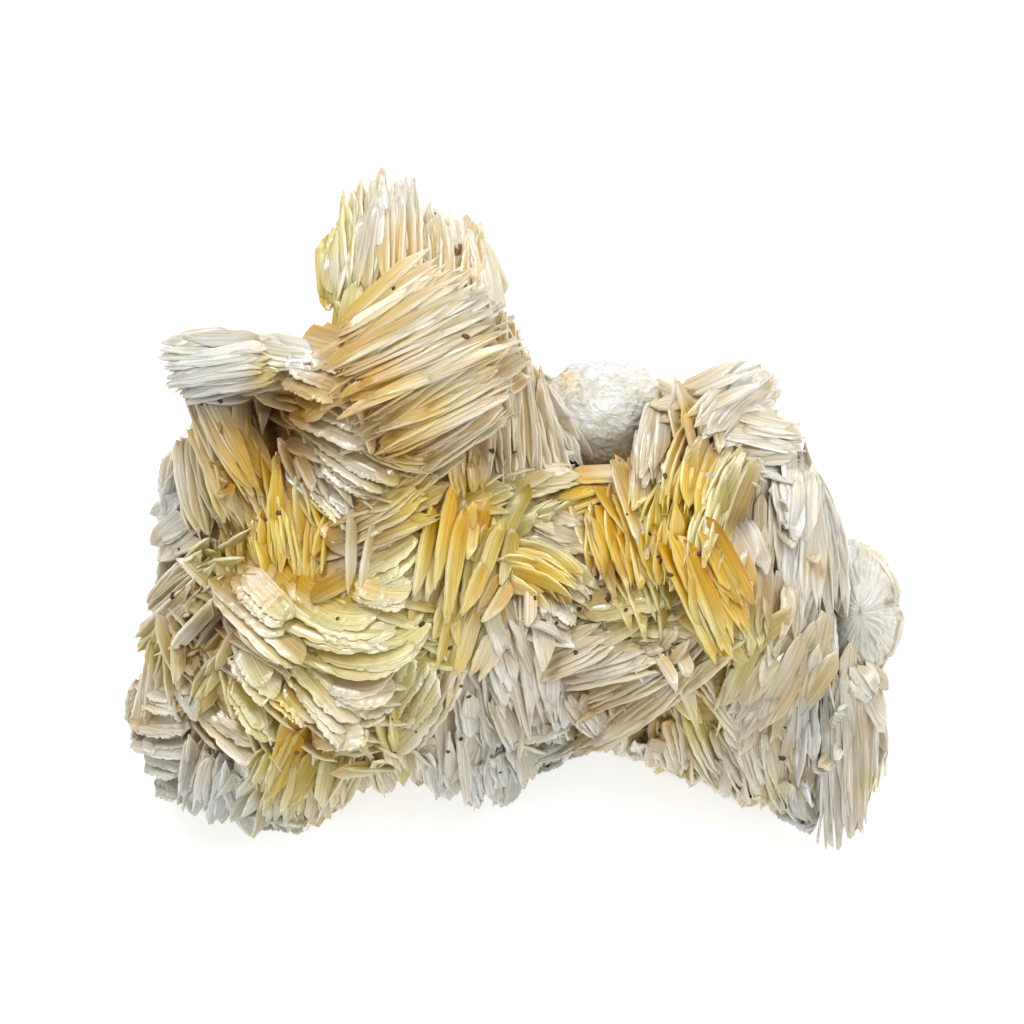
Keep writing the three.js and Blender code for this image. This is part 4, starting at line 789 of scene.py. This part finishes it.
def massive_knob(name, material, swelling, rays, stains):
    """A swelling without blades: lumpy and granular, or broken into fibres that run outward."""
    cx, cy, cz, rx, ry, rz = swelling
    around, rings = 220, 70
    points, tints, fibres = [], [], []
    for ring in range(rings + 1):
        tilt = 0.5 * math.pi * 1.15 * ring / rings
        for k in range(around):
            a = 2 * math.pi * k / around
            out = Vector((math.sin(tilt) * math.cos(a), math.sin(tilt) * math.sin(a), math.cos(tilt)))
            place = Vector((cx + rx * out.x, cy + ry * out.y, cz + rz * out.z))
            lump = noise.noise(place * 0.3)
            crumb = noise.voronoi(place * 0.8)[0]
            grain = noise.voronoi(place * 2.1)[0]
            grains = 0.6 * (crumb[0] - crumb[1]) + 0.4 * (grain[0] - grain[1])
            bent = a + 0.5 * noise.noise(place * 0.25)
            spokes = 0.6 * noise.noise(Vector((2.6 * math.cos(bent), 2.6 * math.sin(bent), 0.3 * tilt * rx)))
            threads = noise.noise(Vector((8 * math.cos(bent), 8 * math.sin(bent), 0.35 * tilt * rx)))
            swell = 0.8 * lump + (0.45 * spokes + 0.4 * threads + 0.5 * grains if rays else grains)
            place += out * swell * (0.3 + 0.7 * math.sin(tilt))
            points.append(tuple(place))
            fibres.append((tilt * rx, a * rx, 0) if rays else (4 * place.x, 0.3 * place.y, 0.12 * place.z))
            colour = GIVEN_BACK * (TONE_TABLE[0][0] * 0.6 + TONE_TABLE[8][1] * 0.4)
            for x, y, radius, tone in stains:
                soak = math.exp(-((place.x - x) ** 2 + (place.y - y) ** 2) / radius ** 2)
                soak *= min(1.0, max(0.0, 0.8 + noise.noise(place * 0.9)))
                colour = colour * (1 - soak) + GIVEN_BACK * TONE_TABLE[tone][1] * soak
            tints.append(colour)
    return ringed_piece(name, material, drawn_together(points, around), around, np.array(tints), fibres, 45)


def root_piece(name, material):
    """The massive root between and under the blades: its top, and from TOP_SHARE on its side wall."""
    around, rings = 300, 66
    points, wall_tints = [], {}
    for ring in range(rings + 1):
        share = ring / rings
        for k in range(around):
            a = 2 * math.pi * k / around
            if share <= TOP_SHARE:
                part = share / TOP_SHARE * WALL_PART
                x, y = spot(a, part)
                z = max(crest_height(x, y) - 2.4, 10.0 - 3 * part)
                if swelling_height(x, y) > 0:
                    z = min(z, swelling_height(x, y) - BELOW_SWELLING)
                grain = 0.5
            else:
                down = (share - TOP_SHARE) / WALL_SHARE
                top = wall_top(a)
                swelling = swelling_height(*spot(a, WALL_PART))
                if swelling > 0:
                    top = min(top, swelling - BELOW_SWELLING)
                z = top * (1 - down)
                x, y = spot(a, wall_part(down))
                ridge = noise.noise(Vector((a * 34, 0.03 * z, 7.0)))
                ridge += 0.5 * noise.noise(Vector((a * 90, 0.08 * z, 2.0)))
                x += 1.3 * ridge * math.cos(a)
                y += 1.3 * ridge * math.sin(a)
                grain = 0.7
            wobble = noise.noise_vector(Vector((x, y, z)) * 0.55)
            fine = noise.noise_vector(Vector((x, y, z)) * 1.9)
            x += grain * (wobble.x + 0.35 * fine.x)
            y += grain * (wobble.y + 0.35 * fine.y)
            z = 0.0 if ring == rings else max(0.0, z + grain * (wobble.z + 0.4 * fine.z))
            if share > TOP_SHARE:
                mix = 0.5 + 0.5 * noise.noise(Vector((x, y, z)) * 0.22)
                soaked = TONE_TABLE[7][1] * (1 - 0.6 * mix) + TONE_TABLE[1][1] * 0.6 * mix
                wall_tints[len(points)] = 0.85 * soaked
            points.append((x, y, z))
    fibres = list(points)
    points = drawn_together(points, around)
    # The top takes mostly the root colour of the tones: painted warm shade for the gaps between the blades.
    own = tones_with_painted_light(points, 1)
    tints = 0.4 * own[:, 1] + 0.6 * own[:, 2]
    tints[list(wall_tints)] = list(wall_tints.values())
    return ringed_piece(name, material, points, around, tints, fibres, 60)


def speck_piece(name, material, pieces):
    """Dark specks of ore, lying on whatever blade is uppermost at each place."""
    depsgraph = bpy.context.evaluated_depsgraph_get()
    trees = [BVHTree.FromObject(piece, depsgraph) for piece in pieces]
    ball = bmesh.new()
    bmesh.ops.create_icosphere(ball, subdivisions=2, radius=1.0)
    form = np.array([tuple(v.co) for v in ball.verts])
    facets = np.array([[v.index for v in f.verts] for f in ball.faces])
    ball.free()
    points, faces = [], []
    for x, y in SPECKS:
        hits = [tree.ray_cast(Vector((x * MM, y * MM, 0.1)), Vector((0, 0, -1)))[0] for tree in trees]
        top = max((hit.z for hit in hits if hit is not None), default=None)
        if top is None:
            continue
        size = rng.uniform(0.16, 0.36)
        stretch = np.array([size * rng.uniform(0.7, 1.7), size, 0.5 * size])
        knobs = np.array([1 + 0.5 * noise.noise(Vector(p) * 1.7 + Vector((x, y, 0))) for p in form])
        turn = rng.uniform(0, math.pi)
        lump = form * knobs[:, None] * stretch
        spun = np.column_stack([
            lump[:, 0] * math.cos(turn) - lump[:, 1] * math.sin(turn),
            lump[:, 0] * math.sin(turn) + lump[:, 1] * math.cos(turn),
            lump[:, 2],
        ])
        faces.extend((facets + len(points)).tolist())
        points.extend((spun + np.array([x, y, top / MM + 0.02])).tolist())
    mesh = bpy.data.meshes.new(name)
    mesh.from_pydata([tuple(c * MM for c in p) for p in points], [], faces)
    mesh.shade_smooth()
    mesh.materials.append(material)
    return placed(name, mesh)


class Look:
    """A material's nodes, each made and linked in one call that gives back its output."""

    def __init__(self, name):
        self.material = bpy.data.materials.new(name)
        self.material.use_nodes = True
        self.tree = self.material.node_tree
        self.shader = self.tree.nodes["Principled BSDF"]

    def add(self, kind, **inputs):
        """A node, with what its inputs are set to or linked from; low_line stands for a space."""
        node = self.tree.nodes.new("ShaderNode" + kind)
        self.feed(node, **inputs)
        return node

    def feed(self, node, **inputs):
        for name, value in inputs.items():
            socket = node.inputs[name.replace("_", " ")]
            if isinstance(value, bpy.types.NodeSocket):
                self.tree.links.new(value, socket)
            else:
                socket.default_value = value

    def attribute(self, name, output):
        node = self.add("Attribute")
        node.attribute_name = name
        return node.outputs[output]

    def mottle(self, place, scale, detail, roughness=0.5):
        node = self.add("TexNoise", Vector=place, Scale=scale, Detail=detail, Roughness=roughness)
        return node.outputs["Fac"]

    def ramp(self, value, low, low_colour, high, high_colour):
        node = self.add("ValToRGB", Fac=value)
        for element, position, colour in zip(node.color_ramp.elements, (low, high), (low_colour, high_colour)):
            element.position = position
            element.color = (*colour, 1)
        return node.outputs["Color"]

    def multiplied(self, a, b, factor):
        node = self.tree.nodes.new("ShaderNodeMix")
        node.data_type = "RGBA"
        node.blend_type = "MULTIPLY"
        self.feed(node, Factor=factor, A=a, B=b)
        return node.outputs["Result"]

    def ranged(self, value, low, high, from_low=0.0, from_high=1.0):
        node = self.add("MapRange", Value=value, From_Min=from_low, From_Max=from_high, To_Min=low, To_Max=high)
        return node.outputs["Result"]

    def bump(self, height, strength, distance):
        return self.add("Bump", Height=height, Strength=strength, Distance=distance).outputs["Normal"]


def speck_material(name):
    look = Look(name)
    rust = look.mottle(look.add("TexCoord").outputs["Object"], 900.0, 3.0)
    look.feed(
        look.shader,
        Base_Color=look.ramp(rust, 0.35, (0.03, 0.012, 0.006), 0.7, (0.2, 0.085, 0.03)),
        Roughness=look.ranged(rust, 0.4, 0.8),
        Normal=look.bump(rust, 0.5, 0.0001),
    )
    return look.material


def barite_material(name, grain=0.0):
    """Silky, slightly translucent barite: streaks run along each plate, and grain makes it duller."""
    look = Look(name)
    stretch = look.add("VectorMath")
    stretch.operation = "MULTIPLY"
    look.tree.links.new(look.attribute("fibre", "Vector"), stretch.inputs[0])
    stretch.inputs[1].default_value = (0.11, 3.2, 6.0)
    streaks = look.mottle(stretch.outputs["Vector"], 1.3, 3.0, 0.62)
    place = look.add("TexCoord").outputs["Object"]
    cloud = look.mottle(place, 120.0, 2.0)
    dust = look.mottle(place, 1500.0, 1.0, 0.7)

    streak_tint = look.ramp(streaks, 0.33, (0.72, 0.62, 0.46), 0.62, (1.12, 1.12, 1.12))
    cloud_tint = look.ramp(cloud, 0.35, (0.93, 0.86, 0.72), 0.65, (1.03, 1.03, 1.05))
    streaked = look.multiplied(look.attribute("tint", "Color"), streak_tint, 0.7)

    relief = look.add("Math")
    relief.operation = "MULTIPLY_ADD"
    look.tree.links.new(streaks, relief.inputs[0])
    relief.inputs[1].default_value = 2.0
    look.tree.links.new(dust, relief.inputs[2])
    look.feed(
        look.shader,
        IOR=1.6,
        Subsurface_Weight=0.35,
        Subsurface_Radius=(1.0, 0.9, 0.8),
        Subsurface_Scale=0.0007,
        Base_Color=look.multiplied(streaked, cloud_tint, 0.7),
        Roughness=look.ranged(streaks, 0.15, 0.32 + grain, 0.3, 0.7),
        Normal=look.bump(relief.outputs["Value"], 0.5 + grain, 0.00002),
    )
    return look.material


def pale_floor():
    mesh = bpy.data.meshes.new("floor")
    mesh.from_pydata([(-1.5, -1.5, 0), (1.5, -1.5, 0), (1.5, 1.5, 0), (-1.5, 1.5, 0)], [], [(0, 1, 2, 3)])
    look = Look("floor_white")
    look.feed(
        look.shader,
        Base_Color=(0.9, 0.9, 0.9, 1),
        Roughness=0.9,
        Emission_Color=(0.93, 0.97, 1, 1),
        Emission_Strength=0.5,
    )
    mesh.materials.append(look.material)
    placed("floor", mesh)


def light_and_camera():
    for name, (place, aim_height, size, power, colour) in LIGHTS.items():
        light = bpy.data.lights.new(name, "AREA")
        light.shape = "DISK"
        light.size = size
        light.energy = power
        light.color = colour
        lamp = placed(name, light)
        lamp.location = place
        lamp.rotation_euler = (Vector((0, 0, aim_height)) - Vector(place)).to_track_quat("-Z", "Y").to_euler()
    world = bpy.data.worlds.new("studio")
    world.use_nodes = True
    sky = world.node_tree.nodes["Background"]
    sky.inputs["Color"].default_value = (1.0, 0.91, 0.74, 1)
    sky.inputs["Strength"].default_value = 0.34
    bpy.context.scene.world = world

    lens = bpy.data.cameras.new("camera")
    lens.lens = LENS
    lens.sensor_width = SENSOR
    camera = placed("camera", lens)
    camera.location = (-0.0006, 0.0, FOCUS_HEIGHT + VIEW_WIDTH / SENSOR * LENS)
    bpy.context.scene.camera = camera


bpy.context.scene.view_settings.view_transform = "Standard"
light_and_camera()
pale_floor()
blade_material = barite_material("barite_blades")
root_material = barite_material("barite_root", 0.2)

pieces = []
for name, (fineness, books) in REGIONS.items():
    sheaf = Sheaf()
    for book in books:
        add_book(sheaf, book, fineness)
    pieces.append(sheaf.build(name, blade_material))
for name, clothe, first, last in (
    ("low_blades_left", add_fillers, -49, -4.9),
    ("low_blades_right", add_fillers, -4.9, 49),
    ("flank_blades_back", add_flanks, 0.0, 0.5),
    ("flank_blades_front", add_flanks, 0.5, 1.0),
):
    sheaf = Sheaf()
    clothe(sheaf, first, last)
    pieces.append(sheaf.build(name, blade_material))
pieces.append(root_piece("massive_root", root_material))
pieces.append(massive_knob("granular_knob", root_material, SWELLINGS[0], False, KNOB_STAINS[0]))
pieces.append(massive_knob("fibrous_knob", root_material, SWELLINGS[1], True, KNOB_STAINS[1]))
pieces.append(speck_piece("dark_specks", speck_material("ore_specks"), pieces))

for piece in pieces:
    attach(piece, "root")
    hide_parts("bladed_barite")
